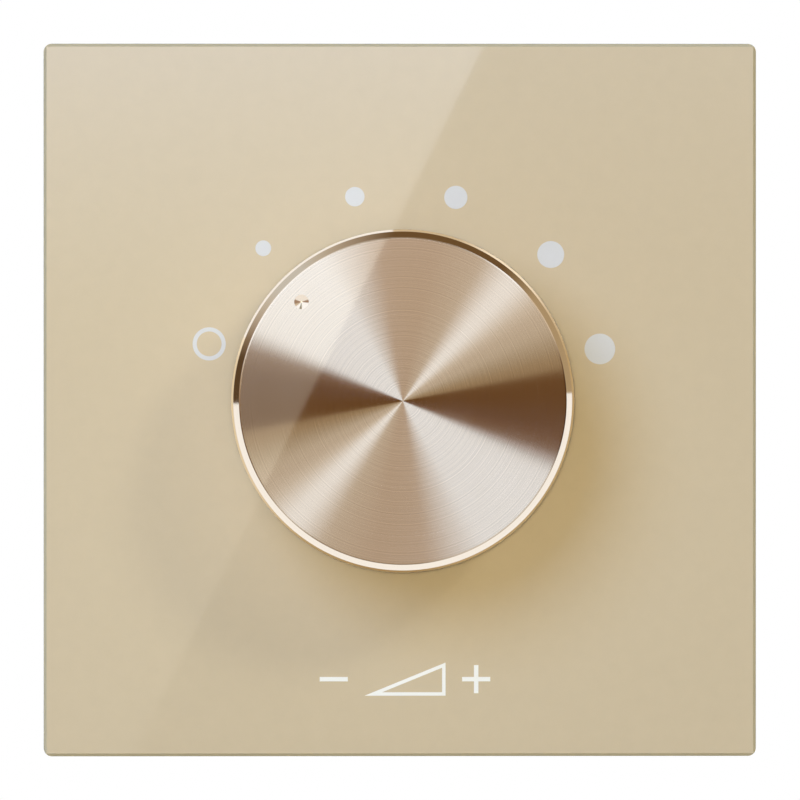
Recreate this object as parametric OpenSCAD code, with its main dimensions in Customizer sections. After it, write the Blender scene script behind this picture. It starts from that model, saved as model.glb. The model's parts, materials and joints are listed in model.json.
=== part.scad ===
// Wall volume control: a glass-fronted wall plate whose knob turns a six-position stepped attenuator.
// The front lies in the XZ plane and faces -Y. The shaft runs along Y through the origin,
// and the plane Y = 0 is the wall. Millimetres, Z up.

/* [Glass panel] */
// Side of the square glass front
panel_size = 86; // [80:1:90]
// Thickness of the glass
glass_t = 4; // [3:0.5:5]
// Radius of the four corners of the glass
glass_corner_r = 1; // [0.6:0.1:3]
// Width of the ground edge on the glass
glass_arris = 0.35; // [0.2:0.05:0.5]
// Radial room around the bush in the glass
glass_hole_room = 1; // [0.5:0.1:3]
// Thickness of the foam tape behind the glass
tape_t = 0.6; // [0.4:0.1:1]
// Height of each strip of foam tape
tape_strip_h = 14; // [8:1:18]
// Distance from the edge of the frame to the tape
tape_margin = 2.5; // [1:0.5:5]

/* [Front frame] */
// How far the frame stays behind the edge of the glass, on each side
frame_inset = 1; // [0.5:0.1:2]
// Thickness of the frame's outer wall
frame_wall = 1.6; // [1.2:0.1:2]
// Thickness of the frame's front web
web_t = 1.6; // [1.2:0.1:2]
// Height of the frame's front face above the wall
frame_depth = 6.2; // [6:0.1:8]
// Gap between the frame and the wall
wall_gap = 0.4; // [0.2:0.1:0.8]
// Diameter of the opening in the web for the shaft nut
web_hole_d = 34; // [26:1:40]
// Width of a snap hook
hook_w = 6; // [4:0.5:8]
// Thickness of a snap hook's arm
hook_t = 1.2; // [0.8:0.1:1.4]
// How far a hook's barb catches behind the base plate
hook_catch = 0.5; // [0.3:0.1:0.6]
// Half of the distance between two hooks on one side
hook_x = 24; // [16:1:28]
// Width of the notch for prying the front off
pry_w = 12; // [8:1:20]

/* [Base plate] */
// Thickness of the base plate, land included
base_t = 3; // [2.6:0.1:3.4]
// Height of the land that rests on the wall
land_h = 0.6; // [0.4:0.1:0.8]
// Width of the land that rests on the wall
land_w = 2.2; // [1.6:0.1:2.4]
// Distance between the two fixing screws
fixing_pitch = 60.3; // [58:0.1:62]
// Width of a fixing slot
slot_w = 4.2; // [3.8:0.1:5]
// Length of a fixing slot
slot_len = 8.4; // [6:0.2:10]
// Width of the raised pad around a fixing slot
pad_w = 14; // [12:1:16]
// Height of the raised pad above the plate
pad_h = 0.6; // [0.4:0.1:1]
// Thickness of the moulded ribs
rib_t = 1.4; // [1:0.1:2]

/* [Knob] */
// Diameter of the knob at its base
knob_d = 40.8; // [36:0.2:46]
// Height of the knob
knob_h = 13; // [11:0.5:18]
// Gap between the knob and the glass
knob_gap = 2; // [1:0.25:3]
// Width of the polished chamfer around the face
knob_chamfer = 0.75; // [0.4:0.05:1.5]
// How much narrower the side is at the face, on the radius
knob_draft = 0.1; // [0:0.05:0.5]
// Small chamfer around the base of the knob
knob_base_chamfer = 0.4; // [0.2:0.1:0.8]
// Wall of the turned cap
cap_wall = 3.2; // [2:0.2:4]
// Thickness of the turned cap's face
cap_face_t = 2; // [1.5:0.1:3]
// Distance from the edge of the knob to the pointer dimple
pointer_inset = 3.45; // [2.5:0.05:8]
// Diameter of the pointer dimple
pointer_d = 1.5; // [1:0.1:2.5]
// Depth of the pointer dimple
pointer_depth = 0.4; // [0.2:0.1:0.8]
// Direction of the pointer dimple at rest, from +X towards +Z
pointer_angle = 135; // [0:1:359]
// Wall of the moulded hub's skirt
hub_skirt_t = 1.5; // [1:0.1:2]
// Diameter of the moulded hub's boss
hub_boss_d = 14; // [12.5:0.5:16]
// Thickness of the moulded hub's disc
hub_disc_t = 2; // [1.4:0.1:3]
// How far the hub stays inside the base of the cap
hub_recess = 0.6; // [0.4:0.1:1.5]
// Number of ribs in the hub
hub_ribs = 8; // [4:1:12]
// Width of the spring ring that grips the hub's boss
grip_w = 3; // [2:0.2:4]
// Thickness of the spring ring
grip_t = 0.7; // [0.5:0.1:1]
// Wall of the hub's boss inside the spring ring
grip_seat_wall = 1.8; // [1.4:0.1:2.2]

/* [Shaft and bush] */
// Diameter of the shaft
shaft_d = 6; // [5:0.5:6.5]
// Distance from the axis to the flat on the shaft
shaft_flat = 1.6; // [1.2:0.1:2]
// Outer diameter of the threaded bush
bush_d = 10; // [9:0.5:11]
// How far the bush reaches into the glass
bush_in_glass = 0.5; // [0.2:0.1:1]
// Distance across the flats of the bush nut
nut_af = 14; // [13:0.5:16]
// Thickness of the bush nut
nut_t = 2.4; // [2:0.1:2.6]
// Thickness of the lock washer
lock_t = 0.6; // [0.4:0.1:0.8]
// Number of teeth on the lock washer
lock_teeth = 12; // [8:1:16]
// Thickness of the shaft's retaining clip
clip_t = 0.7; // [0.5:0.1:0.9]
// Outer diameter of the shaft's retaining clip
clip_d = 9.4; // [8.5:0.1:10]
// Depth of the groove for the clip
clip_groove = 0.7; // [0.4:0.1:0.9]

/* [Stepped switch] */
// Diameter of the switch body
switch_d = 27; // [26:0.5:30]
// Depth of the switch housing
housing_h = 9; // [8.6:0.2:12]
// Thickness of the cast flange
flange_t = 1.4; // [1.2:0.1:2]
// Thickness of the contact wafer
wafer_t = 1.6; // [1.2:0.1:2.2]
// Thickness of the stop washer
stop_t = 0.8; // [0.6:0.1:1]
// Positions clockwise from rest
steps_up = 4; // [3:1:5]
// Positions anticlockwise from rest
steps_down = 1; // [1:1:2]
// Wall of the switch housing, outside the tips between the detent notches
housing_wall = 2.9; // [2.7:0.1:3.2]
// Radius of one detent notch
notch_r = 1.3; // [1:0.1:1.5]
// Thickness of the rotor
rotor_t = 5; // [4.4:0.1:5.2]
// Distance from the flange to the rotor, where the stop lug runs
rotor_room = 2; // [1.8:0.1:2.2]
// Distance from the housing's inner wall to the circle of the stops
stop_inset = 2.6; // [2.4:0.1:3]
// Diameter of a detent ball
ball_d = 3.2; // [2.8:0.1:3.4]
// Wire of the detent springs
spring_wire = 0.35; // [0.25:0.05:0.4]
// Turns of a detent spring
spring_turns = 3; // [2:1:3]
// Distance from the housing's inner wall to the circle of fixed contacts
contact_inset = 1.8; // [1.6:0.1:2.2]
// Diameter of a fixed contact's head
contact_head_d = 2.6; // [2:0.1:2.8]
// Diameter of a contact pin
pin_d = 1; // [0.8:0.1:1.2]

/* [Circuit board] */
// Width of the board
board_w = 50; // [48:1:52]
// Height of the board
board_h = 60; // [58:1:64]
// Thickness of the board
board_t = 1.6; // [1.2:0.2:2]
// Gap between the switch and the board
board_gap = 1; // [0.8:0.1:1.5]
// Distance from the board's edges to its fixing screws
board_screw_inset = 4; // [3.5:0.1:5]
// Distance across the flats of the brass spacers
spacer_af = 5.5; // [5:0.1:6]
// How far a pin shows past the board
pin_show = 1.2; // [0.8:0.1:1.5]

/* [Transformer] */
// Width of an outer leg of the core: every other size of a stamping follows from it
outer_leg_w = 4.5; // [4.2:0.1:4.8]
// Height of the stack of stampings
stack_h = 13; // [11:0.5:14]
// Gap between the core and the board
core_lift = 2.2; // [2:0.1:3]
// Distance from the board's upper edge to the transformer's centre
core_inset = 16; // [15:0.1:16.4]
// Wall of the bobbin
bobbin_wall = 0.8; // [0.6:0.1:1]
// How far a bobbin flange stands out past the stack
flange_out = 5.2; // [4.8:0.1:6]
// Thickness of the insulating tape around the winding
wrap_t = 0.3; // [0.2:0.05:0.5]
// Thickness of the steel strap
strap_t = 0.8; // [0.6:0.1:1]
// Length of a strap foot
strap_foot = 7; // [6.5:0.1:8]
// Number of pins under the bobbin
bobbin_pins = 6; // [4:1:6]

/* [Terminal block] */
// Number of terminals
ways = 4; // [2:1:5]
// Distance between two terminals
way_pitch = 5.08; // [5:0.01:6]
// Depth of the terminal block, from its wire side to its back
terminal_d = 8.6; // [8:0.2:9]
// Height of the terminal block above the board
terminal_h = 11; // [10:0.5:13]
// Distance from the board's edge to the wire side
terminal_inset = 3; // [1:0.5:4]
// Width of a wire entry
entry_w = 3.6; // [3:0.1:3.8]
// Diameter of a terminal screw
terminal_screw_d = 2.6; // [2.2:0.1:3]

/* [Fits] */
// Clearance between moulded pieces
mould_gap = 0.3; // [0.2:0.05:0.4]
// Clearance between pieces that locate on each other
seat_gap = 0.05; // [0.03:0.01:0.08]
// Clearance around the turning shaft, on the radius
turn_gap = 0.05; // [0.03:0.01:0.08]
// Clearance around a pin in the board
hole_gap = 0.1; // [0.08:0.01:0.15]

/* [Hidden] */
$fn = 64;
cut = 1;

// Levels along the shaft, measured from the wall towards the room
base_rear = land_h;
web_rear = frame_depth - web_t;
tape_front = frame_depth + tape_t;
glass_front = tape_front + glass_t;
knob_base = glass_front + knob_gap;
knob_face = knob_base + knob_h;
cap_ceiling = knob_face - cap_face_t;
bush_end = tape_front + bush_in_glass;
clip_rear = bush_end + 2 * seat_gap;
clip_front = clip_rear + clip_t;
flange_front = base_rear - stop_t;
flange_rear = flange_front - flange_t;
wafer_front = flange_rear - housing_h;
wafer_rear = wafer_front - wafer_t;
board_front = wafer_rear - board_gap;
board_rear = board_front - board_t;
core_front = board_rear - core_lift;
core_rear = core_front - 5 * outer_leg_w;

// Widths that follow from the panel
frame_size = panel_size - 2 * frame_inset;
frame_corner_r = 1.4;
base_size = frame_size - 2 * frame_wall - 2 * mould_gap;
base_corner_r = 1.2;
land_inner = base_size - 2 * land_w;
glass_hole_d = bush_d + 2 * glass_hole_room;

// Snap hooks
hook_outer_y = land_inner / 2 - hook_catch - 2 * mould_gap;
hook_room = 0.3;
barb_h = base_rear - wall_gap / 4 - seat_gap;

// Front side of the base plate
rim_rib_inset = 1;
rim_rib_outer = base_size - 2 * rim_rib_inset;
screw_pocket_d = pad_w - 3;
nut_ring_room = 2;
nut_ring_d = nut_af / cos(30) + 2 * nut_ring_room;
lock_w = 1.6;
lock_tooth_l = 2;
lock_tooth_w = 1.3;

// Fasteners
screw_d = 3;
screw_head_d = 5.6;
screw_head_h = 2;
screw_recess = 1;
screw_reach = 4;
spacer_bore = screw_reach + 3;
pin_root = 4;
m3_nut_af = 5.5;
m3_nut_t = 2.4;
spacer_stud = base_t - land_h + 0.6;
spacer_boss_d = 8;
spacer_boss_h = 1.2;

// Board fixing points
board_x = board_w / 2 - board_screw_inset;
board_y = board_h / 2 - board_screw_inset;
board_corner_r = 1.5;
core_y = board_h / 2 - core_inset;

// Parts of the switch
step_angle = 30;
detent_r = switch_d / 2 - housing_wall;
contact_r = detent_r - contact_inset;
rotor_r = detent_r - 0.4;
rotor_front = flange_rear - rotor_room;
rotor_rear = rotor_front - rotor_t;
rotor_mid = (rotor_front + rotor_rear) / 2;
contact_head_t = 0.5;
contact_face = wafer_front + contact_head_t;
wiper_t = 0.4;
wiper_w = 3;
shaft_rear = rotor_rear - wiper_t;
shaft_front = cap_ceiling - 1;
flat_start = knob_base;
rotor_flat_end = rotor_front + 0.4;
ball_reach = detent_r - 0.2;
ball_r = ball_reach - ball_d / 2;
bore_d = ball_d + 2 * hole_gap;
spring_seat_wall = 1;
bore_bottom = shaft_d / 2 + spring_seat_wall;
spring_d = ball_d - 0.5;
spring_inner = bore_bottom + spring_wire;
spring_outer = ball_r - ball_d / 2 - spring_wire / 2;
stop_r = detent_r - stop_inset;
stop_w = 1.8;
lug_w = 2.4;
lug_angle = 270;
rivet_d = 1.4;
rivet_head_d = 2.4;
rivet_head_h = 0.4;
rivet_r = (detent_r + notch_r / 2 + switch_d / 2) / 2;
common_w = 1.6;
spigot_d = 2.4;
spigot_r = rivet_r - 0.8;
common_gap = 0.6;
common_r = shaft_d / 2 + common_gap + common_w / 2;

// The lug meets the tab or the cast stop this far past its last position
stop_room = 1.5;
stop_half_angle = asin((lug_w / 2) / stop_r) + asin((stop_w / 2) / stop_r) + stop_room;
tab_angle = lug_angle - steps_up * step_angle - stop_half_angle;
cast_stop_angle = lug_angle + steps_down * step_angle + stop_half_angle;

// Parts of the transformer
core_w = 6 * outer_leg_w;
middle_leg_w = 2 * outer_leg_w;
window_h = 3 * outer_leg_w;
tube_w = middle_leg_w + 2 * seat_gap + 2 * bobbin_wall;
tube_h = stack_h + 2 * seat_gap + 2 * bobbin_wall;
window_front = core_front - outer_leg_w;
bobbin_front = window_front - seat_gap;
bobbin_rear = bobbin_front - window_h + 2 * seat_gap;
bobbin_flange_t = 0.9;
flange_w = 4 * outer_leg_w - 2 * mould_gap;
flange_h = stack_h + 2 * flange_out;
coil_t = (flange_w - tube_w) / 2 - wrap_t - mould_gap;
coil_w = tube_w + 2 * coil_t;
coil_h = tube_h + 2 * coil_t;
coil_corner_r = 2.6;
rail_y = stack_h / 2 + flange_out / 2 + mould_gap / 2;
rail_t = flange_out - mould_gap;
strap_margin = 1;
strap_w = stack_h - 2 * strap_margin;
strap_bend_r = 1.4;
strap_screw_x = core_w / 2 + seat_gap + strap_t + strap_foot / 2 + hole_gap;

// Parts of the terminal block
terminal_end_wall = 0.7;
terminal_w = ways * way_pitch + 2 * terminal_end_wall;
terminal_y = -board_h / 2 + terminal_inset;
terminal_rear = board_rear - terminal_h;
cell_y = terminal_y + terminal_d / 2;
cage_w = entry_w - 2 * seat_gap;
cage_wall = 0.6;
cage_d = 4.4;
terminal_floor = 2;
entry_front = board_rear - terminal_floor;
entry_h = 4.6;
well_room = 0.7;
well_d = terminal_screw_d + 2 * well_room;
cage_nut_t = 1.4;
terminal_step = 2;
head_inset = 1.2;
terminal_head_t = 1.6;

// Shared shapes. They are drawn as seen from the room: X to the right, Y up and Z out of the wall.

// Turns a shape drawn as seen from the room into the frame of the part
module to_wall() rotate([90, 0, 0]) children();

module rounded_rect(w, h, r) {
    square([w - 2 * r, h], center = true);
    square([w, h - 2 * r], center = true);
    for (sx = [-1, 1], sy = [-1, 1]) {
        translate([sx * (w / 2 - r), sy * (h / 2 - r)]) circle(r);
    }
}

module slab(w, h, r, z0, z1) translate([0, 0, z0]) linear_extrude(z1 - z0) rounded_rect(w, h, r);

module block(w, h, z0, z1) translate([-w / 2, -h / 2, z0]) cube([w, h, z1 - z0]);

module rod(d, z0, z1) translate([0, 0, z0]) cylinder(d = d, h = z1 - z0);

module ring(od, id, z0, z1) {
    difference() {
        rod(od, z0, z1);
        rod(id, z0 - cut, z1 + cut);
    }
}

module hex_rod(af, z0, z1) translate([0, 0, z0]) cylinder(d = af / cos(30), h = z1 - z0, $fn = 6);

module slot_rod(w, len, z0, z1) {
    translate([0, 0, z0]) linear_extrude(z1 - z0) {
        square([len - w, w], center = true);
        for (s = [-1, 1]) translate([s * (len - w) / 2, 0]) circle(d = w);
    }
}

// A round section with one flat facing +Y
module d_section(d, flat) {
    intersection() {
        circle(d = d);
        translate([-d, -d]) square([2 * d, d + flat]);
    }
}

module at_corners(x, y) for (sx = [-1, 1], sy = [-1, 1]) translate([sx * x, sy * y, 0]) children();

module at_sides(x) for (s = [-1, 1]) translate([s * x, 0, 0]) children();

module around(count, r, start = 0) {
    for (i = [0 : count - 1]) rotate(start + i * 360 / count) translate([r, 0, 0]) children();
}

// A pan-head screw whose head points to -Z, with a cross recess
module pan_screw(d, head_d, head_h, under_head, tip) {
    difference() {
        union() {
            rod(d, under_head - seat_gap, tip);
            rod(head_d, under_head - head_h, under_head);
        }
        head_top = under_head - head_h;
        for (a = [0, 90]) rotate(a) {
            block(head_d * 0.6, head_d * 0.16, head_top - cut, head_top + screw_recess);
        }
    }
}

// Front group

module glass_panel() color([0.82, 0.75, 0.62]) to_wall() difference() {
    slab(panel_size, panel_size, glass_corner_r, tape_front, glass_front);
    rod(glass_hole_d, tape_front - cut, glass_front + cut);
    for (z = [tape_front, glass_front], a = [0 : 90 : 270]) {
        rotate(a) translate([panel_size / 2, 0, z]) rotate([0, 45, 0]) {
            cube([glass_arris * sqrt(2), panel_size + 2 * cut, glass_arris * sqrt(2)], center = true);
        }
    }
}

module glass_tapes() color([0.9, 0.9, 0.88]) to_wall() {
    strip_y = frame_size / 2 - tape_margin - tape_strip_h / 2;
    for (s = [-1, 1]) translate([0, s * strip_y, 0]) {
        block(frame_size - 2 * tape_margin, tape_strip_h, frame_depth, tape_front);
    }
}

// One snap hook that points up, at the height of its outer face
module snap_hook() {
    translate([-hook_w / 2, -hook_t, base_rear - seat_gap - barb_h]) {
        cube([hook_w, hook_t, web_rear - base_rear + seat_gap + barb_h]);
    }
    translate([-hook_w / 2, 0, base_rear - seat_gap]) rotate([0, 90, 0]) linear_extrude(hook_w) {
        polygon([[0, 0], [0, hook_catch + mould_gap], [barb_h, 0]]);
    }
}

module at_hooks() {
    for (side = [0, 180], x = [-hook_x, hook_x]) {
        rotate(side) translate([x, hook_outer_y, 0]) children();
    }
}

module front_frame() color([0.86, 0.8, 0.68]) to_wall() {
    difference() {
        slab(frame_size, frame_size, frame_corner_r, wall_gap, frame_depth);
        slab(base_size + 2 * mould_gap, base_size + 2 * mould_gap, base_corner_r, wall_gap - cut, web_rear);
        rod(web_hole_d, web_rear - cut, frame_depth + cut);
        at_sides(fixing_pitch / 2) rod(screw_pocket_d, web_rear - cut, frame_depth + cut);
        translate([0, -frame_size / 2, 0]) block(pry_w, 4 * frame_wall, wall_gap - cut, wall_gap + 1.2);
    }
    at_hooks() snap_hook();
}

module base_plate() color([0.93, 0.93, 0.9]) to_wall() difference() {
    union() {
        slab(base_size, base_size, base_corner_r, base_rear, base_t);
        difference() {
            slab(base_size, base_size, base_corner_r, 0, base_rear + seat_gap);
            slab(land_inner, land_inner, base_corner_r, -cut, base_t);
        }
        difference() {
            slab(rim_rib_outer, rim_rib_outer, base_corner_r, base_t - seat_gap, web_rear);
            slab(rim_rib_outer - 2 * rib_t, rim_rib_outer - 2 * rib_t, base_corner_r, 0, web_rear + cut);
        }
        ring(nut_ring_d + 2 * rib_t, nut_ring_d, base_t - seat_gap, base_t + spacer_boss_h);
        at_sides(fixing_pitch / 2) slab(pad_w, pad_w, 2, base_t - seat_gap, base_t + pad_h);
        at_corners(board_x, board_y) rod(spacer_boss_d, base_t - seat_gap, base_t + spacer_boss_h);
        for (sx = [-1, 1], sy = [-1, 1]) rotate(atan2(sy * board_y, sx * board_x)) {
            rib_start = nut_ring_d / 2 + rib_t / 2;
            rib_end = norm([board_x, board_y]) - spacer_boss_d / 4;
            translate([rib_start, -rib_t / 2, base_t - seat_gap]) {
                cube([rib_end - rib_start, rib_t, spacer_boss_h * 0.8]);
            }
        }
    }
    rod(bush_d + 2 * hole_gap, -cut, base_t + cut);
    rotate(lug_angle) translate([spigot_r, 0, 0]) rod(spigot_d + 2 * hole_gap, -cut, base_t + cut);
    at_sides(fixing_pitch / 2) slot_rod(slot_w, slot_len, -cut, base_t + pad_h + cut);
    at_corners(board_x, board_y) rod(screw_d + 2 * seat_gap, -cut, base_rear + spacer_stud + seat_gap);
    at_hooks() translate([0, -hook_t / 2, 0]) {
        block(hook_w + 2 * hook_room, hook_t + 2 * hook_room, base_rear - cut, web_rear + cut);
    }
}

module bush_nut() color([0.78, 0.78, 0.8]) to_wall() difference() {
    hex_rod(nut_af, base_t + lock_t, base_t + lock_t + nut_t);
    rod(bush_d + 2 * seat_gap, base_t, base_t + lock_t + nut_t + cut);
}

module lock_washer() color([0.72, 0.72, 0.74]) to_wall() {
    ring(bush_d + 2 * lock_w, bush_d + 2 * hole_gap, base_t, base_t + lock_t);
    around(lock_teeth, bush_d / 2 + lock_w) block(lock_tooth_l, lock_tooth_w, base_t, base_t + lock_t);
}

// Stepped switch, fixed pieces

module stop_washer() color([0.75, 0.75, 0.76]) to_wall() {
    ring(2 * stop_r + stop_t, bush_d + 2 * hole_gap, flange_front, base_rear);
    rotate(tab_angle) translate([stop_r, 0, 0]) {
        block(stop_t, stop_w, rotor_front + 3 * seat_gap, flange_front + seat_gap);
    }
}

module switch_bush() color([0.7, 0.7, 0.72]) to_wall() difference() {
    union() {
        rod(bush_d, flange_front - seat_gap, bush_end);
        rod(switch_d, flange_rear, flange_front);
        rotate(lug_angle) translate([spigot_r, 0, 0]) {
            rod(spigot_d, flange_front - seat_gap, base_t - seat_gap);
        }
        rotate(cast_stop_angle) translate([stop_r, 0, 0]) {
            block(stop_w, stop_w, rotor_front + 3 * seat_gap, flange_rear + seat_gap);
        }
    }
    rod(shaft_d + 2 * turn_gap, flange_rear - cut, bush_end + cut);
    rotate(tab_angle) translate([stop_r, 0, 0]) {
        block(stop_t + 2 * hole_gap, stop_w + 2 * hole_gap, flange_rear - cut, flange_front + cut);
    }
    around(4, rivet_r, 45) rod(rivet_d + 2 * seat_gap, flange_rear - cut, flange_front + cut);
}

module switch_housing() color([0.16, 0.2, 0.18]) to_wall() difference() {
    rod(switch_d, wafer_front, flange_rear);
    rod(2 * detent_r, wafer_front - cut, flange_rear + cut);
    around(360 / step_angle, detent_r) rod(2 * notch_r, rotor_rear, flange_rear + cut);
    around(4, rivet_r, 45) rod(rivet_d + 2 * seat_gap, wafer_front - cut, flange_rear + cut);
}

module contact_wafer() color([0.42, 0.28, 0.16]) to_wall() difference() {
    rod(switch_d, wafer_rear, wafer_front);
    around(360 / step_angle, contact_r) rod(pin_d + 2 * seat_gap, wafer_rear - cut, wafer_front + cut);
    translate([common_r, 0, 0]) rod(pin_d + 2 * seat_gap, wafer_rear - cut, wafer_front + cut);
    around(4, rivet_r, 45) rod(rivet_d + 2 * seat_gap, wafer_rear - cut, wafer_front + cut);
}

module contact_pins() color([0.86, 0.82, 0.7]) to_wall() around(360 / step_angle, contact_r) {
    rod(contact_head_d, wafer_front, contact_face);
    rod(pin_d, board_rear - pin_show, wafer_front + seat_gap);
}

module common_contact() color([0.86, 0.82, 0.7]) to_wall() {
    ring(2 * common_r + common_w, 2 * common_r - common_w, wafer_front, contact_face);
    translate([common_r, 0, 0]) rod(pin_d, board_rear - pin_show, wafer_front + seat_gap);
}

module housing_rivets() color([0.8, 0.78, 0.7]) to_wall() around(4, rivet_r, 45) {
    rod(rivet_d, wafer_rear - seat_gap, flange_front + seat_gap);
    rod(rivet_head_d, wafer_rear - rivet_head_h, wafer_rear);
    rod(rivet_head_d, flange_front, flange_front + rivet_head_h);
}

// Circuit board and what holds it

module board_spacers() color([0.83, 0.68, 0.35]) to_wall() at_corners(board_x, board_y) difference() {
    union() {
        hex_rod(spacer_af, board_front, base_rear);
        rod(screw_d, base_rear - seat_gap, base_rear + spacer_stud);
    }
    rod(screw_d + 2 * seat_gap, board_front - cut, board_front + spacer_bore);
}

module circuit_board() color([0.1, 0.38, 0.2]) to_wall() difference() {
    slab(board_w, board_h, board_corner_r, board_rear, board_front);
    board_hole = pin_d + 2 * hole_gap;
    at_corners(board_x, board_y) rod(screw_d + 2 * hole_gap, board_rear - cut, board_front + cut);
    around(360 / step_angle, contact_r) rod(board_hole, board_rear - cut, board_front + cut);
    translate([common_r, 0, 0]) rod(board_hole, board_rear - cut, board_front + cut);
    at_bobbin_pins() rod(board_hole, board_rear - cut, board_front + cut);
    at_ways() rod(board_hole, board_rear - cut, board_front + cut);
    translate([0, core_y, 0]) at_sides(strap_screw_x) {
        rod(screw_d + 2 * hole_gap, board_rear - cut, board_front + cut);
    }
}

module board_screws() color([0.8, 0.8, 0.82]) to_wall() at_corners(board_x, board_y) {
    pan_screw(screw_d, screw_head_d, screw_head_h, board_rear, board_front + screw_reach);
}

// Transformer: the stampings' legs run along the shaft, and the winding surrounds the middle leg

module transformer_core() color([0.45, 0.45, 0.47]) to_wall() translate([0, core_y, 0]) difference() {
    block(core_w, stack_h, core_rear, core_front);
    at_sides(1.5 * outer_leg_w) {
        block(outer_leg_w, stack_h + 2 * cut, window_front - window_h, window_front);
    }
}

module bobbin_section(w, h, z0, z1) {
    difference() {
        block(w, h, z0, z1);
        block(middle_leg_w + 2 * seat_gap, stack_h + 2 * seat_gap, z0 - cut, z1 + cut);
    }
}

module at_bobbin_pins() {
    pin_pitch = (flange_w - 2) / bobbin_pins;
    for (i = [0 : bobbin_pins - 1]) {
        translate([(i - (bobbin_pins - 1) / 2) * pin_pitch, core_y + rail_y, 0]) children();
    }
}

module transformer_bobbin() color([0.12, 0.12, 0.13]) to_wall() difference() {
    translate([0, core_y, 0]) {
        bobbin_section(tube_w, tube_h, bobbin_rear, bobbin_front);
        bobbin_section(flange_w, flange_h, bobbin_front - bobbin_flange_t, bobbin_front);
        bobbin_section(flange_w, flange_h, bobbin_rear, bobbin_rear + bobbin_flange_t);
        translate([0, rail_y, 0]) block(flange_w, rail_t, bobbin_front - seat_gap, board_rear);
    }
    at_bobbin_pins() rod(pin_d + 2 * seat_gap, board_rear - pin_root, board_rear + cut);
}

module coil_ring(w, h, r, inner_w, inner_h, inner_r) {
    difference() {
        slab(w, h, r, bobbin_rear + bobbin_flange_t + seat_gap, bobbin_front - bobbin_flange_t - seat_gap);
        slab(inner_w, inner_h, inner_r, bobbin_rear, bobbin_front);
    }
}

module winding() color([0.72, 0.4, 0.2]) to_wall() translate([0, core_y, 0]) {
    coil_ring(coil_w, coil_h, coil_corner_r, tube_w + 2 * seat_gap, tube_h + 2 * seat_gap, seat_gap);
}

module winding_wrap() color([0.93, 0.78, 0.2]) to_wall() translate([0, core_y, 0]) {
    inner_w = coil_w + 2 * seat_gap;
    inner_h = coil_h + 2 * seat_gap;
    outer_w = coil_w + 2 * wrap_t;
    outer_h = coil_h + 2 * wrap_t;
    coil_ring(outer_w, outer_h, coil_corner_r + wrap_t, inner_w, inner_h, coil_corner_r);
}

module transformer_pins() color([0.82, 0.82, 0.8]) to_wall() at_bobbin_pins() {
    rod(pin_d, board_rear - pin_root, board_front + pin_show);
}

// The strap's outline as seen from above: X across and Y out of the wall
module strap_outline() {
    inner_w = core_w + 2 * seat_gap;
    outer_w = inner_w + 2 * strap_t;
    inner_rear = core_rear - seat_gap;
    tall = board_rear - inner_rear;
    difference() {
        translate([-outer_w / 2, inner_rear - strap_t]) square([outer_w, tall + strap_t]);
        translate([-inner_w / 2, inner_rear]) square([inner_w, tall + cut]);
        bend_x = outer_w / 2 - strap_bend_r;
        for (s = [-1, 1]) translate([s * bend_x, inner_rear - strap_t + strap_bend_r]) {
            difference() {
                rotate(s > 0 ? 270 : 180) square(strap_bend_r + cut);
                circle(strap_bend_r);
            }
        }
    }
    foot_x = outer_w / 2 + strap_foot / 2 - strap_t / 2;
    for (s = [-1, 1]) translate([s * foot_x, board_rear - strap_t / 2]) {
        square([strap_foot + strap_t, strap_t], center = true);
    }
}

module transformer_strap() color([0.75, 0.75, 0.77]) to_wall() translate([0, core_y, 0]) difference() {
    translate([0, strap_w / 2, 0]) rotate([90, 0, 0]) linear_extrude(strap_w) strap_outline();
    at_sides(strap_screw_x) rod(screw_d + 2 * hole_gap, board_rear - 2 * strap_t, board_rear + cut);
}

module strap_screws() color([0.8, 0.8, 0.82]) to_wall() translate([0, core_y, 0]) at_sides(strap_screw_x) {
    pan_screw(screw_d, screw_head_d, screw_head_h, board_rear - strap_t, board_front + m3_nut_t + 0.6);
}

module strap_nuts() color([0.8, 0.8, 0.82]) to_wall() translate([0, core_y, 0]) at_sides(strap_screw_x) {
    difference() {
        hex_rod(m3_nut_af, board_front, board_front + m3_nut_t);
        rod(screw_d + 2 * seat_gap, board_front - cut, board_front + m3_nut_t + cut);
    }
}

// Terminal block: wires enter from below, and screws clamp them from the back

module at_ways() {
    for (i = [0 : ways - 1]) translate([(i - (ways - 1) / 2) * way_pitch, cell_y, 0]) children();
}

module terminal_body() color([0.12, 0.5, 0.25]) to_wall() difference() {
    translate([0, cell_y, 0]) union() {
        block(terminal_w, terminal_d, terminal_rear + terminal_step, board_rear);
        translate([0, terminal_step / 2, 0]) {
            block(terminal_w, terminal_d - terminal_step, terminal_rear, board_rear);
        }
    }
    at_ways() {
        translate([0, -terminal_d / 4 + cage_d / 4, 0]) {
            block(entry_w, terminal_d / 2 + cage_d / 2 + cut, entry_front - entry_h, entry_front);
        }
        rod(well_d, terminal_rear - cut, entry_front - entry_h + seat_gap);
        rod(pin_d + 2 * seat_gap, entry_front - seat_gap, board_rear + cut);
    }
}

module terminal_cages() color([0.85, 0.75, 0.45]) to_wall() at_ways() difference() {
    block(cage_w, cage_d, entry_front - entry_h + seat_gap, entry_front - seat_gap);
    mouth_rear = entry_front - entry_h + cage_nut_t;
    block(cage_w - 2 * cage_wall, cage_d + cut, mouth_rear, entry_front - cage_wall);
    rod(terminal_screw_d + 2 * seat_gap, entry_front - entry_h - cut, entry_front - cage_d / 2);
}

module terminal_screws() color([0.78, 0.78, 0.8]) to_wall() at_ways() difference() {
    head_rear = terminal_rear + head_inset;
    union() {
        rod(terminal_screw_d, head_rear, entry_front - entry_h + cage_nut_t);
        rod(well_d - 2 * hole_gap, head_rear, head_rear + terminal_head_t);
    }
    block(well_d + cut, 0.7, head_rear - cut, head_rear + 0.9);
}

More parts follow.
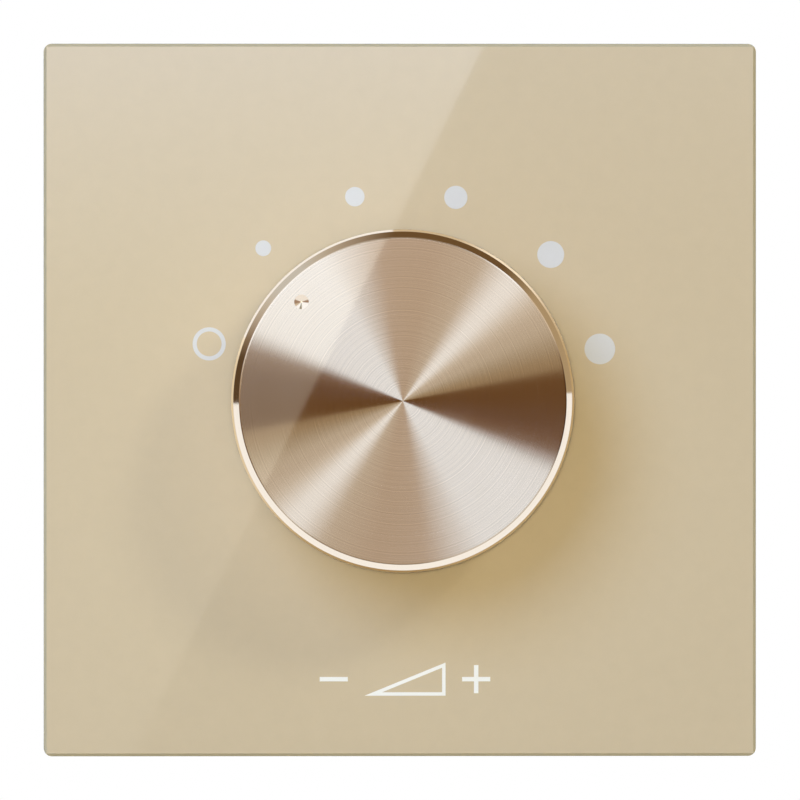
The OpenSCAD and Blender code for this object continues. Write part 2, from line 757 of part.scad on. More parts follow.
module terminal_pins() color([0.85, 0.82, 0.7]) to_wall() at_ways() {
    rod(pin_d, entry_front - seat_gap, board_front + pin_show);
}

// Knob

module knob_cap() color([0.8, 0.7, 0.56]) to_wall() difference() {
    rotate_extrude() {
        base_r = knob_d / 2;
        top_r = base_r - knob_draft;
        polygon([
            [base_r - cap_wall, knob_base],
            [base_r - knob_base_chamfer, knob_base],
            [base_r, knob_base + knob_base_chamfer],
            [top_r, knob_face - knob_chamfer],
            [top_r - knob_chamfer, knob_face],
            [0, knob_face],
            [0, cap_ceiling],
            [base_r - cap_wall, cap_ceiling]
        ]);
    }
    rotate(pointer_angle) translate([knob_d / 2 - pointer_inset, 0, knob_face - pointer_depth]) {
        cylinder(d1 = 0.2, d2 = pointer_d, h = pointer_depth);
        rod(pointer_d, pointer_depth, pointer_depth + cut);
    }
}

module knob_hub() color([0.15, 0.15, 0.16]) to_wall() {
    hub_r = knob_d / 2 - cap_wall - seat_gap;
    hub_base = knob_base + hub_recess;
    disc_rear = cap_ceiling - hub_disc_t;
    grip_seat_d = shaft_d + 2 * seat_gap + 2 * grip_seat_wall;
    difference() {
        union() {
            rod(2 * hub_r, disc_rear, cap_ceiling);
            ring(2 * hub_r, 2 * (hub_r - hub_skirt_t), hub_base, disc_rear + seat_gap);
            rod(hub_boss_d, hub_base + grip_w, disc_rear + seat_gap);
            rod(grip_seat_d, hub_base, hub_base + grip_w + seat_gap);
            rib_inner = hub_boss_d / 2 - 0.3;
            rib_outer = hub_r - hub_skirt_t / 2;
            around(hub_ribs, (rib_inner + rib_outer) / 2) {
                block(rib_outer - rib_inner, 1.2, hub_base + grip_w, disc_rear + seat_gap);
            }
        }
        translate([0, 0, hub_base - cut]) linear_extrude(cap_ceiling - hub_base) {
            d_section(shaft_d + 2 * seat_gap, shaft_flat + seat_gap);
        }
    }
}

module hub_spring() color([0.65, 0.65, 0.66]) to_wall() difference() {
    hub_base = knob_base + hub_recess;
    inner_d = shaft_d + 2 * grip_seat_wall + 4 * seat_gap;
    ring(inner_d + 2 * grip_t, inner_d, hub_base, hub_base + grip_w - seat_gap);
    translate([-inner_d, 0, 0]) block(2 * inner_d, 1, hub_base - cut, hub_base + grip_w + cut);
}

// Pieces that turn with the knob

module shaft() color([0.76, 0.76, 0.78]) to_wall() difference() {
    rod(shaft_d, shaft_rear, shaft_front);
    translate([0, shaft_flat + shaft_d / 2, 0]) {
        block(2 * shaft_d, shaft_d, flat_start, shaft_front + cut);
        block(2 * shaft_d, shaft_d, shaft_rear - cut, rotor_flat_end);
    }
    ring(shaft_d + cut, shaft_d - 2 * clip_groove, clip_rear - seat_gap, clip_front + seat_gap);
}

module shaft_clip() color([0.6, 0.6, 0.62]) to_wall() difference() {
    ring(clip_d, shaft_d - 2 * clip_groove + 2 * seat_gap, clip_rear, clip_front);
    mouth_w = shaft_d - 2 * clip_groove - 0.6;
    translate([0, -clip_d / 2, 0]) block(mouth_w, clip_d, clip_rear - cut, clip_front + cut);
}

module rotor() color([0.9, 0.9, 0.86]) to_wall() difference() {
    union() {
        rod(2 * rotor_r, rotor_rear, rotor_front);
        rotate(lug_angle) translate([stop_r, 0, 0]) {
            block(lug_w, lug_w, rotor_front - seat_gap, flange_rear - mould_gap);
        }
    }
    translate([0, 0, rotor_rear - cut]) linear_extrude(rotor_front - rotor_rear + 2 * cut) {
        d_section(shaft_d + 2 * seat_gap, shaft_flat + seat_gap);
    }
    at_balls() rotate([0, 90, 0]) rod(bore_d, bore_bottom, rotor_r + cut);
}

// Two radial bores on opposite sides of the rotor, with X pointing outwards
module at_balls() {
    for (a = [0, 180]) rotate(a) translate([0, 0, rotor_mid]) children();
}

module detent_balls() color([0.85, 0.85, 0.87]) to_wall() at_balls() {
    translate([ball_r, 0, 0]) sphere(d = ball_d);
}

// A spring along X from x0 to x1, as one tube of six sides around a helix
spring_sides = 6;
spring_rings = 8;
function spring_at(t, x0, x1) = let(
    a = 360 * spring_turns * t,
    r = (spring_d - spring_wire) / 2
) [x0 + (x1 - x0) * t, r * cos(a), r * sin(a)];
function spring_out(t) = [0, cos(360 * spring_turns * t), sin(360 * spring_turns * t)];
function spring_loop(t, x0, x1) = [
    for (k = [0 : spring_sides - 1]) let(b = 360 * k / spring_sides)
        spring_at(t, x0, x1) + spring_wire / 2 * (cos(b) * spring_out(t) + sin(b) * [1, 0, 0])
];

module helix_spring(x0, x1) {
    count = spring_turns * spring_rings;
    rings = [for (i = [0 : count]) spring_loop(i / count, x0, x1)];
    points = [for (r = rings, p = r) p];
    sides = [
        for (i = [0 : count - 1], k = [0 : spring_sides - 1]) let(
            n = (k + 1) % spring_sides,
            a = i * spring_sides,
            b = a + spring_sides
        ) each [[a + k, b + k, b + n], [a + k, b + n, a + n]]
    ];
    first = [for (k = [1 : spring_sides - 2]) [0, k, k + 1]];
    base = count * spring_sides;
    last = [for (k = [1 : spring_sides - 2]) [base, base + k + 1, base + k]];
    polyhedron(points, concat(sides, first, last));
}

module detent_springs() color([0.7, 0.7, 0.72]) to_wall() at_balls() {
    helix_spring(spring_inner, spring_outer);
}

module wiper() color([0.85, 0.65, 0.35]) to_wall() {
    difference() {
        union() {
            rod(2 * common_r + common_w, rotor_rear - wiper_t, rotor_rear);
            translate([-wiper_w / 2, 0, rotor_rear - wiper_t]) cube([wiper_w, contact_r + 0.8, wiper_t]);
        }
        rod(shaft_d + 2 * hole_gap, rotor_rear - wiper_t - cut, rotor_rear + cut);
    }
    for (y = [-common_r, contact_r]) translate([0, y, 0]) {
        rod(1.2, contact_face + seat_gap, rotor_rear - wiper_t + seat_gap);
    }
}

glass_panel();
glass_tapes();
front_frame();
base_plate();
bush_nut();
lock_washer();
stop_washer();
switch_bush();
switch_housing();
contact_wafer();
contact_pins();
common_contact();
housing_rivets();
board_spacers();
circuit_board();
board_screws();
transformer_core();
transformer_bobbin();
winding();
winding_wrap();
transformer_pins();
transformer_strap();
strap_screws();
strap_nuts();
terminal_body();
terminal_cages();
terminal_screws();
terminal_pins();
knob_cap();
knob_hub();
hub_spring();
shaft();
shaft_clip();
rotor();
detent_balls();
detent_springs();
wiper();
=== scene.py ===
import json
import math

import bmesh
import bpy
from mathutils import Matrix, Vector


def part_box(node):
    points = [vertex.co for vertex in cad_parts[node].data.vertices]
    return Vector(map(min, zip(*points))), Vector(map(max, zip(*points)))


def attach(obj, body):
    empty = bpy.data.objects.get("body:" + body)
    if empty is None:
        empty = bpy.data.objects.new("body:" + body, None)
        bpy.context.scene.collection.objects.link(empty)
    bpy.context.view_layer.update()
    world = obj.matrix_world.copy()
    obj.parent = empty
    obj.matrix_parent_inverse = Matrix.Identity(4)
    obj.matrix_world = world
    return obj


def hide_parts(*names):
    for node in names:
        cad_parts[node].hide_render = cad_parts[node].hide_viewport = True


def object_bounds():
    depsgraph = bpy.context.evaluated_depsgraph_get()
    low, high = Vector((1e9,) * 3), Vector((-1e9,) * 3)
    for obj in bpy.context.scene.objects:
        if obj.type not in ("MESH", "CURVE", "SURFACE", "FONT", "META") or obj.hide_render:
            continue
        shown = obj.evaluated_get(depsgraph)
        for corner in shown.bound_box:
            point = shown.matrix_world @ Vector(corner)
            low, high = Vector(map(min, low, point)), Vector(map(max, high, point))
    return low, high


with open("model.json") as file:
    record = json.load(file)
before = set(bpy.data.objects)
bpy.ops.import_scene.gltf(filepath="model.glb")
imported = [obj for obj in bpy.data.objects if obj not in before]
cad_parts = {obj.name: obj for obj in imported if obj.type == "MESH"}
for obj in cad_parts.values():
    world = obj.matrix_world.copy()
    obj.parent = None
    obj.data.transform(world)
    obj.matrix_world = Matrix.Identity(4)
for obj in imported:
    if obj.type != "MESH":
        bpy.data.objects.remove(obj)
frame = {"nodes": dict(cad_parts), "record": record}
cad_low, cad_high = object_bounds()
nodes = frame["nodes"]
scene = bpy.context.scene
scene.view_settings.view_transform = "Standard"

# Lengths are typed in millimetres and stored in metres. The front looks along -Y, and +Z is up.
mm = 0.001


def corners(node):
    """Lowest and highest corner of a CAD piece, as vectors."""
    low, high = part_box(node)
    return Vector(low), Vector(high)


glass_low, glass_high = corners("glass_panel")
cap_low, cap_high = corners("knob_cap")
board_low, board_high = corners("circuit_board")
glass_front = glass_low.y
glass_half = glass_high.x
knob_face = cap_low.y
knob_base = cap_high.y
knob_radius = cap_high.x
board_front = board_low.y
board_rear = board_high.y


# Node wiring

def add(tree, kind, settings=None, inputs=None):
    """Adds a node. An input value that is a socket is linked, and any other is set."""
    node = tree.nodes.new(kind)
    for key, value in (settings or {}).items():
        setattr(node, key, value)
    for key, value in (inputs or {}).items():
        if isinstance(value, bpy.types.NodeSocket):
            tree.links.new(value, node.inputs[key])
        else:
            node.inputs[key].default_value = value
    return node


def maths(tree, operation, first, second=0.0):
    return add(tree, "ShaderNodeMath", {"operation": operation}, {0: first, 1: second}).outputs[0]


def ramp(tree, value, from_low, from_high, to_low, to_high):
    """Maps a value from one span to another and keeps it inside."""
    node = add(tree, "ShaderNodeMapRange", {"clamp": True}, {
        "Value": value, "From Min": from_low, "From Max": from_high, "To Min": to_low, "To Max": to_high,
    })
    return node.outputs["Result"]


def blend_colour(tree, share, first, second):
    """Mixes two colours. The sockets go by identifier, because their names repeat."""
    node = add(tree, "ShaderNodeMix", {"data_type": "RGBA"})
    for key, value in (("Factor_Float", share), ("A_Color", first), ("B_Color", second)):
        socket = next(s for s in node.inputs if s.identifier == key)
        if isinstance(value, bpy.types.NodeSocket):
            tree.links.new(value, socket)
        else:
            socket.default_value = value
    return next(s for s in node.outputs if s.identifier == "Result_Color")


def vectors(tree, operation, first, second=None):
    """Vector maths, which gives a number for a length and a vector for anything else."""
    inputs = {0: first}
    if second is not None:
        inputs["Scale" if operation == "SCALE" else 1] = second
    node = add(tree, "ShaderNodeVectorMath", {"operation": operation}, inputs)
    return node.outputs["Value" if operation == "LENGTH" else "Vector"]


def axes(tree, vector):
    """The X, Y and Z of a vector."""
    return add(tree, "ShaderNodeSeparateXYZ", {}, {0: vector}).outputs


def line_noise(tree, position, scale, detail):
    """Noise along one line."""
    return add(tree, "ShaderNodeTexNoise", {"noise_dimensions": "1D"}, {
        "W": position, "Scale": scale, "Detail": detail,
    }).outputs["Fac"]


def own_place(tree):
    """The piece's own coordinates."""
    return tree.nodes.new("ShaderNodeTexCoord").outputs["Object"]


def new_tree(name, kind, inputs, outputs):
    """Starts a node group with named sockets and returns it with its input node and its output node."""
    tree = bpy.data.node_groups.new(name, kind)
    for label, socket_type, value in inputs:
        socket = tree.interface.new_socket(label, in_out="INPUT", socket_type=socket_type)
        if value is not None:
            socket.default_value = value
    for label, socket_type in outputs:
        tree.interface.new_socket(label, in_out="OUTPUT", socket_type=socket_type)
    return tree, tree.nodes.new("NodeGroupInput"), tree.nodes.new("NodeGroupOutput")


FLOAT = "NodeSocketFloat"
COLOUR = "NodeSocketColor"
VECTOR = "NodeSocketVector"
MATERIAL = "NodeSocketMaterial"
GEOMETRY = "NodeSocketGeometry"


# Shared surface effects

# A place times this is the part of it that lies across the knob's axis.
off_axis = (1, 0, 1)


def make_fine_grain():
    """Speckle of a moulded, painted or plated surface: a varied colour, a varied roughness and a height."""
    tree, start, end = new_tree("fine_grain", "ShaderNodeTree", [
        ("Vector", VECTOR, None),
        ("Color", COLOUR, (0.5, 0.5, 0.5, 1)),
        ("Roughness", FLOAT, 0.5),
        ("Scale", FLOAT, 2500.0),
        ("Tone Spread", FLOAT, 0.06),
        ("Roughness Spread", FLOAT, 0.1),
    ], [("Color", COLOUR), ("Roughness", FLOAT), ("Height", FLOAT)])
    given = start.outputs
    broad_share = 0.06
    fine = add(tree, "ShaderNodeTexNoise", {}, {
        "Vector": given["Vector"], "Scale": given["Scale"], "Detail": 3.0, "Roughness": 0.6,
    }).outputs["Fac"]
    broad_scale = maths(tree, "MULTIPLY", given["Scale"], broad_share)
    broad = add(tree, "ShaderNodeTexNoise", {}, {
        "Vector": given["Vector"], "Scale": broad_scale, "Detail": 2.0,
    }).outputs["Fac"]
    both = maths(tree, "SUBTRACT", maths(tree, "ADD", fine, broad), 1.0)
    tone = maths(tree, "ADD", maths(tree, "MULTIPLY", both, given["Tone Spread"]), 1.0)
    rough = maths(tree, "ADD", given["Roughness"], maths(tree, "MULTIPLY", both, given["Roughness Spread"]))
    tree.links.new(vectors(tree, "SCALE", given["Color"], tone), end.inputs["Color"])
    tree.links.new(rough, end.inputs["Roughness"])
    tree.links.new(fine, end.inputs["Height"])
    return tree


def make_turned_lines():
    """Tool marks of a lathe: lines that vary along one position, as a tone around 1 and a height."""
    tree, start, end = new_tree("turned_lines", "ShaderNodeTree", [
        ("Position", FLOAT, 0.0),
        ("Pitch", FLOAT, 0.14 * mm),
        ("Tone Spread", FLOAT, 0.1),
    ], [("Tone", FLOAT), ("Height", FLOAT)])
    close_share = 0.95
    turns = maths(tree, "DIVIDE", start.outputs["Position"], start.outputs["Pitch"])
    close = maths(tree, "MULTIPLY", line_noise(tree, turns, 1.0, 1.0), close_share)
    wide = maths(tree, "MULTIPLY", line_noise(tree, turns, 0.21, 1.0), 1.0 - close_share)
    mixed = maths(tree, "ADD", close, wide)
    centred = maths(tree, "SUBTRACT", mixed, 0.5)
    tone = maths(tree, "ADD", maths(tree, "MULTIPLY", centred, start.outputs["Tone Spread"]), 1.0)
    tree.links.new(tone, end.inputs["Tone"])
    tree.links.new(mixed, end.inputs["Height"])
    return tree


def make_turned_grooves():
    """The flanks of fine grooves round the knob's axis: a normal that leans out or in along the radius."""
    tree, start, end = new_tree("turned_grooves", "ShaderNodeTree", [
        ("Vector", VECTOR, None),
        ("Normal", VECTOR, None),
        ("Pitch", FLOAT, 0.06 * mm),
        ("Least Slope", FLOAT, 0.15),
        ("Slope Spread", FLOAT, 0.3),
    ], [("Normal", VECTOR)])
    given = start.outputs
    wander = 2.5
    flat = vectors(tree, "MULTIPLY", given["Vector"], off_axis)
    outward = vectors(tree, "NORMALIZE", flat)
    turns = maths(tree, "DIVIDE", vectors(tree, "LENGTH", flat), given["Pitch"])
    uneven = line_noise(tree, turns, 0.7, 0.0)
    steady = maths(tree, "MULTIPLY", turns, 2 * math.pi)
    phase = maths(tree, "ADD", steady, maths(tree, "MULTIPLY", uneven, wander))
    flank = maths(tree, "SIGN", maths(tree, "SINE", phase))
    slope = maths(tree, "ADD", given["Least Slope"], maths(tree, "MULTIPLY", uneven, given["Slope Spread"]))
    tilt = vectors(tree, "SCALE", outward, maths(tree, "MULTIPLY", flank, slope))
    turned = add(tree, "ShaderNodeVectorTransform", {
        "vector_type": "VECTOR", "convert_from": "OBJECT", "convert_to": "WORLD",
    }, {0: tilt}).outputs[0]
    leaning = vectors(tree, "ADD", given["Normal"], turned)
    tree.links.new(vectors(tree, "NORMALIZE", leaning), end.inputs["Normal"])
    return tree


fine_grain = make_fine_grain()
turned_lines = make_turned_lines()
turned_grooves = make_turned_grooves()


# Finishes

coat_roughness = 0.02
glass_index = 1.52


def bare_finish(name):
    """A new material with nothing in it but its output."""
    finish = bpy.data.materials.new(name)
    finish.use_nodes = True
    tree = finish.node_tree
    tree.nodes.clear()
    return finish, tree, tree.nodes.new("ShaderNodeOutputMaterial")


def new_finish(name):
    """A new material with one Principled shader, and the piece's own coordinates."""
    finish, tree, out = bare_finish(name)
    shader = tree.nodes.new("ShaderNodeBsdfPrincipled")
    tree.links.new(shader.outputs["BSDF"], out.inputs["Surface"])
    return finish, tree, shader, own_place(tree)


def surfaced(tree, shader, colour, roughness):
    """Gives a shader a colour and a roughness that change over the surface."""
    tree.links.new(colour, shader.inputs["Base Color"])
    tree.links.new(roughness, shader.inputs["Roughness"])


def coated(shader, index):
    """A smooth clear coat all over."""
    shader.inputs["Coat Weight"].default_value = 1.0
    shader.inputs["Coat Roughness"].default_value = coat_roughness
    shader.inputs["Coat IOR"].default_value = index


def behind_glass(shader):
    """Paint or ink on the back of clear glass: all of its gloss is the glass's."""
    coated(shader, glass_index)
    shader.inputs["Specular IOR Level"].default_value = 0.0


def grained(tree, place, colour, roughness, scale, tone, spread):
    return add(tree, "ShaderNodeGroup", {"node_tree": fine_grain}, {
        "Vector": place, "Color": colour, "Roughness": roughness, "Scale": scale,
        "Tone Spread": tone, "Roughness Spread": spread,
    })


def bumped(tree, shader, height, strength, distance):
    bump = add(tree, "ShaderNodeBump", {}, {"Strength": strength, "Distance": distance, "Height": height})
    tree.links.new(bump.outputs["Normal"], shader.inputs["Normal"])


def moulded_plastic(name, colour, roughness, grain=2600.0, relief=0.02 * mm, tone=0.08):
    finish, tree, shader, place = new_finish(name)
    group = grained(tree, place, colour, roughness, grain, tone, 0.12)
    surfaced(tree, shader, group.outputs["Color"], group.outputs["Roughness"])
    bumped(tree, shader, group.outputs["Height"], 0.35, relief)
    return finish


def plated_metal(name, colour, roughness, grain=900.0, relief=0.006 * mm, tone=0.1):
    finish, tree, shader, place = new_finish(name)
    group = grained(tree, place, colour, roughness, grain, tone, 0.14)
    surfaced(tree, shader, group.outputs["Color"], group.outputs["Roughness"])
    shader.inputs["Metallic"].default_value = 1.0
    bumped(tree, shader, group.outputs["Height"], 0.3, relief)
    return finish


def back_painted_glass():
    """Champagne paint seen through clear glass, with a frosted ground edge."""
    finish, tree, shader, place = new_finish("back_painted_glass")
    along = axes(tree, place)
    reach = maths(tree, "MAXIMUM", maths(tree, "ABSOLUTE", along["X"]), maths(tree, "ABSOLUTE", along["Z"]))
    ground = ramp(tree, reach, glass_half - 0.42 * mm, glass_half - 0.30 * mm, 0.0, 1.0)
    side = ramp(tree, reach, glass_half - 0.04 * mm, glass_half - 0.01 * mm, 0.0, 1.0)
    depth = maths(tree, "SUBTRACT", along["Y"], glass_front)
    through = ramp(tree, depth, 0.4 * mm, 3.6 * mm, 0.0, 1.0)
    green_glass = blend_colour(tree, through, (0.40, 0.43, 0.30, 1), (0.60, 0.52, 0.345, 1))
    ground_edge = blend_colour(tree, side, (0.63, 0.535, 0.345, 1), green_glass)
    paint = grained(tree, place, (0.678, 0.541, 0.350, 1), 0.5, 9000.0, 0.05, 0.05)
    edge = grained(tree, place, ground_edge, 0.42, 5200.0, 0.12, 0.2)
    colour = blend_colour(tree, ground, paint.outputs["Color"], edge.outputs["Color"])
    surfaced(tree, shader, colour, edge.outputs["Roughness"])
    behind_glass(shader)
    tree.links.new(ramp(tree, ground, 0.0, 1.0, 1.0, 0.25), shader.inputs["Coat Weight"])
    bumped(tree, shader, maths(tree, "MULTIPLY", edge.outputs["Height"], ground), 0.4, 0.02 * mm)
    return finish


def printed_ink(name, colour):
    """Screen ink with a faint screen speckle, under the same gloss as the glass."""
    finish, tree, shader, place = new_finish(name)
    group = grained(tree, place, colour, 0.5, 7000.0, 0.05, 0.05)
    surfaced(tree, shader, group.outputs["Color"], group.outputs["Roughness"])
    behind_glass(shader)
    bumped(tree, shader, group.outputs["Height"], 0.1, 0.004 * mm)
    return finish


def spun_metal(name, colour, roughness, pitch, tone, along,
               anisotropy=0.0, relief=0.0, grooves=0.0, metal=1.0):
    """Lathe-turned anodised metal, with marks round the knob's axis that follow its radius or its depth.

    The marks stand out by their relief, or by groove flanks of the given mean slope under a clear coat.
    """
    quarter_turn = 0.25
    groove_pitch = 0.06 * mm
    lacquer_index = 2.0
    finish, tree, shader, place = new_finish(name)
    if along == "radius":
        position = vectors(tree, "LENGTH", vectors(tree, "MULTIPLY", place, off_axis))
    else:
        position = axes(tree, place)["Y"]
    lines = add(tree, "ShaderNodeGroup", {"node_tree": turned_lines}, {
        "Position": position, "Pitch": pitch, "Tone Spread": tone,
    })
    speckle = grained(tree, place, colour, roughness, 3000.0, 0.03, 0.04)
    shaded = vectors(tree, "SCALE", speckle.outputs["Color"], lines.outputs["Tone"])
    surfaced(tree, shader, shaded, speckle.outputs["Roughness"])
    shader.inputs["Metallic"].default_value = metal
    if anisotropy > 0:
        shader.inputs["Anisotropic"].default_value = anisotropy
        shader.inputs["Anisotropic Rotation"].default_value = quarter_turn
        around = add(tree, "ShaderNodeTangent", {"direction_type": "RADIAL", "axis": "Y"})
        tree.links.new(around.outputs["Tangent"], shader.inputs["Tangent"])
    if grooves > 0:
        upright = tree.nodes.new("ShaderNodeNewGeometry").outputs["Normal"]
        flanks = add(tree, "ShaderNodeGroup", {"node_tree": turned_grooves}, {
            "Vector": place, "Normal": upright, "Pitch": groove_pitch,
            "Least Slope": grooves * 0.6, "Slope Spread": grooves * 0.8,
        })
        tree.links.new(flanks.outputs["Normal"], shader.inputs["Normal"])
        coated(shader, lacquer_index)
    else:
        bumped(tree, shader, lines.outputs["Height"], 0.25, relief)
    return finish


def stamped_core():
    """Edges of a stack of stampings: dark seams between thin bright sheets."""
    sheet_thickness = 0.5 * mm
    finish, tree, shader, place = new_finish("core_steel")
    bottom = corners("transformer_core")[0].z
    level = maths(tree, "DIVIDE", maths(tree, "SUBTRACT", axes(tree, place)["Z"], bottom), sheet_thickness)
    sheet = maths(tree, "FRACT", maths(tree, "ADD", level, 0.5))
    off_middle = maths(tree, "ABSOLUTE", maths(tree, "SUBTRACT", sheet, 0.5))
    seam = ramp(tree, off_middle, 0.36, 0.48, 0.0, 1.0)
    steel = grained(tree, place, (0.23, 0.235, 0.25, 1), 0.42, 1500.0, 0.35, 0.2)
    colour = blend_colour(tree, seam, steel.outputs["Color"], (0.05, 0.05, 0.055, 1))
    surfaced(tree, shader, colour, steel.outputs["Roughness"])
    shader.inputs["Metallic"].default_value = 0.9
    bumped(tree, shader, maths(tree, "SUBTRACT", 1.0, seam), 0.6, 0.05 * mm)
    return finish


def wound_copper():
    """Enamelled wire laid turn beside turn, its colour darkened towards the gaps between turns as painted
    shade.
    """
    wire_pitch = 0.4 * mm
    finish, tree, shader, place = new_finish("copper_wire")
    turn = maths(tree, "FRACT", maths(tree, "DIVIDE", axes(tree, place)["Y"], wire_pitch))
    round_wire = maths(tree, "SINE", maths(tree, "MULTIPLY", turn, math.pi))
    wire = grained(tree, place, (0.62, 0.24, 0.085, 1), 0.3, 1200.0, 0.2, 0.1)
    # Painted shade: the colour falls to a third in the crevices between neighbouring turns.
    painted_gap_shade = ramp(tree, round_wire, 0.0, 0.6, 0.35, 1.0)
    shaded = vectors(tree, "SCALE", wire.outputs["Color"], painted_gap_shade)
    surfaced(tree, shader, shaded, wire.outputs["Roughness"])
    shader.inputs["Metallic"].default_value = 0.8
    shader.inputs["Coat Weight"].default_value = 0.5
    bumped(tree, shader, round_wire, 0.7, 0.12 * mm)
    return finish


def yellow_film():
    """Insulating tape: slightly wrinkled, with the overlap of its turns showing."""
    tape_pitch = 5.5 * mm
    finish, tree, shader, place = new_finish("yellow_film")
    film = grained(tree, place, (0.84, 0.52, 0.02, 1), 0.22, 420.0, 0.16, 0.1)
    lap = maths(tree, "FRACT", maths(tree, "DIVIDE", axes(tree, place)["Y"], tape_pitch))
    overlap = ramp(tree, lap, 0.62, 0.64, 1.0, 0.86)
    shaded = vectors(tree, "SCALE", film.outputs["Color"], overlap)
    surfaced(tree, shader, shaded, film.outputs["Roughness"])
    bumped(tree, shader, maths(tree, "ADD", film.outputs["Height"], overlap), 0.35, 0.06 * mm)
    return finish


def board_laminate():
    """Green solder mask over a faint glass weave, with bare fibre on the cut edges."""
    threads = 2 * math.pi / (0.9 * mm)
    finish, tree, shader, place = new_finish("board_laminate")
    along = axes(tree, place)
    across = maths(tree, "SINE", maths(tree, "MULTIPLY", along["X"], threads))
    upward = maths(tree, "SINE", maths(tree, "MULTIPLY", along["Z"], threads))
    weave = ramp(tree, maths(tree, "MULTIPLY", across, upward), -1.0, 1.0, 0.0, 1.0)
    mask = grained(tree, place, (0.012, 0.115, 0.045, 1), 0.28, 900.0, 0.2, 0.08)
    woven = vectors(tree, "SCALE", mask.outputs["Color"], ramp(tree, weave, 0.0, 1.0, 0.9, 1.12))
    middle = (board_front + board_rear) / 2
    half_thick = (board_rear - board_front) / 2
    off_middle = maths(tree, "ABSOLUTE", maths(tree, "SUBTRACT", along["Y"], middle))
    cut_edge = ramp(tree, off_middle, half_thick - 0.06 * mm, half_thick - 0.03 * mm, 1.0, 0.0)
    fibre = grained(tree, place, (0.52, 0.47, 0.22, 1), 0.6, 2400.0, 0.3, 0.1)
    colour = blend_colour(tree, cut_edge, woven, fibre.outputs["Color"])
    surfaced(tree, shader, colour, mask.outputs["Roughness"])
    bumped(tree, shader, weave, 0.12, 0.02 * mm)
    return finish


finishes = {
    "back_painted_glass": back_painted_glass(),
    "foam_tape": moulded_plastic("foam_tape", (0.72, 0.72, 0.69, 1), 0.85, 1400.0, 0.06 * mm, 0.16),
    "frame_plastic": moulded_plastic("frame_plastic", (0.60, 0.51, 0.345, 1), 0.5, 2600.0),
    "base_plastic": moulded_plastic("base_plastic", (0.76, 0.755, 0.70, 1), 0.52, 2300.0),
    "plated_steel": plated_metal("plated_steel", (0.66, 0.665, 0.68, 1), 0.3),
    "zinc_casting": plated_metal("zinc_casting", (0.48, 0.485, 0.50, 1), 0.46, 1800.0, 0.02 * mm, 0.2),
    "switch_plastic": moulded_plastic("switch_plastic", (0.020, 0.026, 0.024, 1), 0.48, 2200.0),
    "wafer_laminate": moulded_plastic(
        "wafer_laminate", (0.17, 0.075, 0.028, 1), 0.42, 1500.0, 0.01 * mm, 0.3),
    "tinned_brass": plated_metal("tinned_brass", (0.70, 0.68, 0.62, 1), 0.27, 1400.0),
    "bare_brass": plated_metal("bare_brass", (0.74, 0.52, 0.19, 1), 0.3, 1200.0, 0.006 * mm, 0.14),
    "board_laminate": board_laminate(),
    "core_steel": stamped_core(),
    "bobbin_plastic": moulded_plastic("bobbin_plastic", (0.014, 0.014, 0.016, 1), 0.46, 2000.0),
    "copper_wire": wound_copper(),
    "yellow_film": yellow_film(),
    "terminal_plastic": moulded_plastic(
        "terminal_plastic", (0.010, 0.190, 0.055, 1), 0.36, 2600.0, 0.012 * mm),
    "spun_aluminium": spun_metal(
        "spun_aluminium", (0.90, 0.79, 0.62, 1), roughness=0.3, pitch=0.2 * mm, tone=0.16, along="depth",
        anisotropy=0.7, relief=0.006 * mm, metal=0.8),
    "hub_plastic": moulded_plastic("hub_plastic", (0.016, 0.016, 0.018, 1), 0.5, 2000.0),
    "rotor_plastic": moulded_plastic("rotor_plastic", (0.78, 0.77, 0.70, 1), 0.4, 2200.0),
    "spring_bronze": plated_metal("spring_bronze", (0.70, 0.40, 0.16, 1), 0.3, 1200.0),
}
slot_of = {subpart["node"]: subpart["material_slot"] for subpart in frame["record"]["subparts"]}
for node_name, slot_name in slot_of.items():
    for material_slot in nodes[node_name].material_slots:
        material_slot.material = finishes[slot_name]

spun_face = spun_metal(
    "spun_face", (0.86, 0.80, 0.72, 1), roughness=0.14, pitch=0.15 * mm, tone=0.28, along="radius",
    anisotropy=0.8, grooves=0.3)
polished_chamfer = spun_metal(
    "polished_chamfer", (0.93, 0.84, 0.73, 1), roughness=0.07, pitch=0.1 * mm, tone=0.08, along="radius",
    relief=0.001 * mm)
mark_ink = printed_ink("mark_ink", (0.735, 0.715, 0.68, 1))
symbol_ink = printed_ink("symbol_ink", (1.0, 0.96, 0.86, 1))
legend_ink = moulded_plastic("legend_ink", (0.80, 0.80, 0.77, 1), 0.5, 5000.0, 0.006 * mm)
track_copper = moulded_plastic("track_copper", (0.020, 0.165, 0.065, 1), 0.27, 2000.0, 0.004 * mm, 0.12)
solder = plated_metal("solder", (0.62, 0.625, 0.64, 1), 0.24, 1600.0, 0.01 * mm, 0.16)
# Painted shade: a dark steel colour for the faces inside the screws' cross recesses, where the real metal is
# the same plated steel in shadow.
painted_recess_shade = plated_metal("painted_recess_shade", (0.13, 0.133, 0.14, 1), 0.6)


# Pieces

def new_piece(name, mesh, finish_list):
    piece = bpy.data.objects.new(name, mesh)
    scene.collection.objects.link(piece)
    for finish in finish_list:
        piece.data.materials.append(finish)
    return piece


def mesh_of(shape, name):
    """Ends a bmesh and returns it as a new mesh."""
    mesh = bpy.data.meshes.new(name)
    shape.to_mesh(mesh)
    shape.free()
    return mesh


def settled(piece):
    """Turns what the modifiers make into the piece's own mesh and takes the modifiers off."""
    bpy.context.view_layer.update()
    evaluated = piece.evaluated_get(bpy.context.evaluated_depsgraph_get())
    mesh = bpy.data.meshes.new_from_object(evaluated)
    mesh.name = piece.name
    piece.modifiers.clear()
    old = piece.data
    piece.data = mesh
    bpy.data.meshes.remove(old)


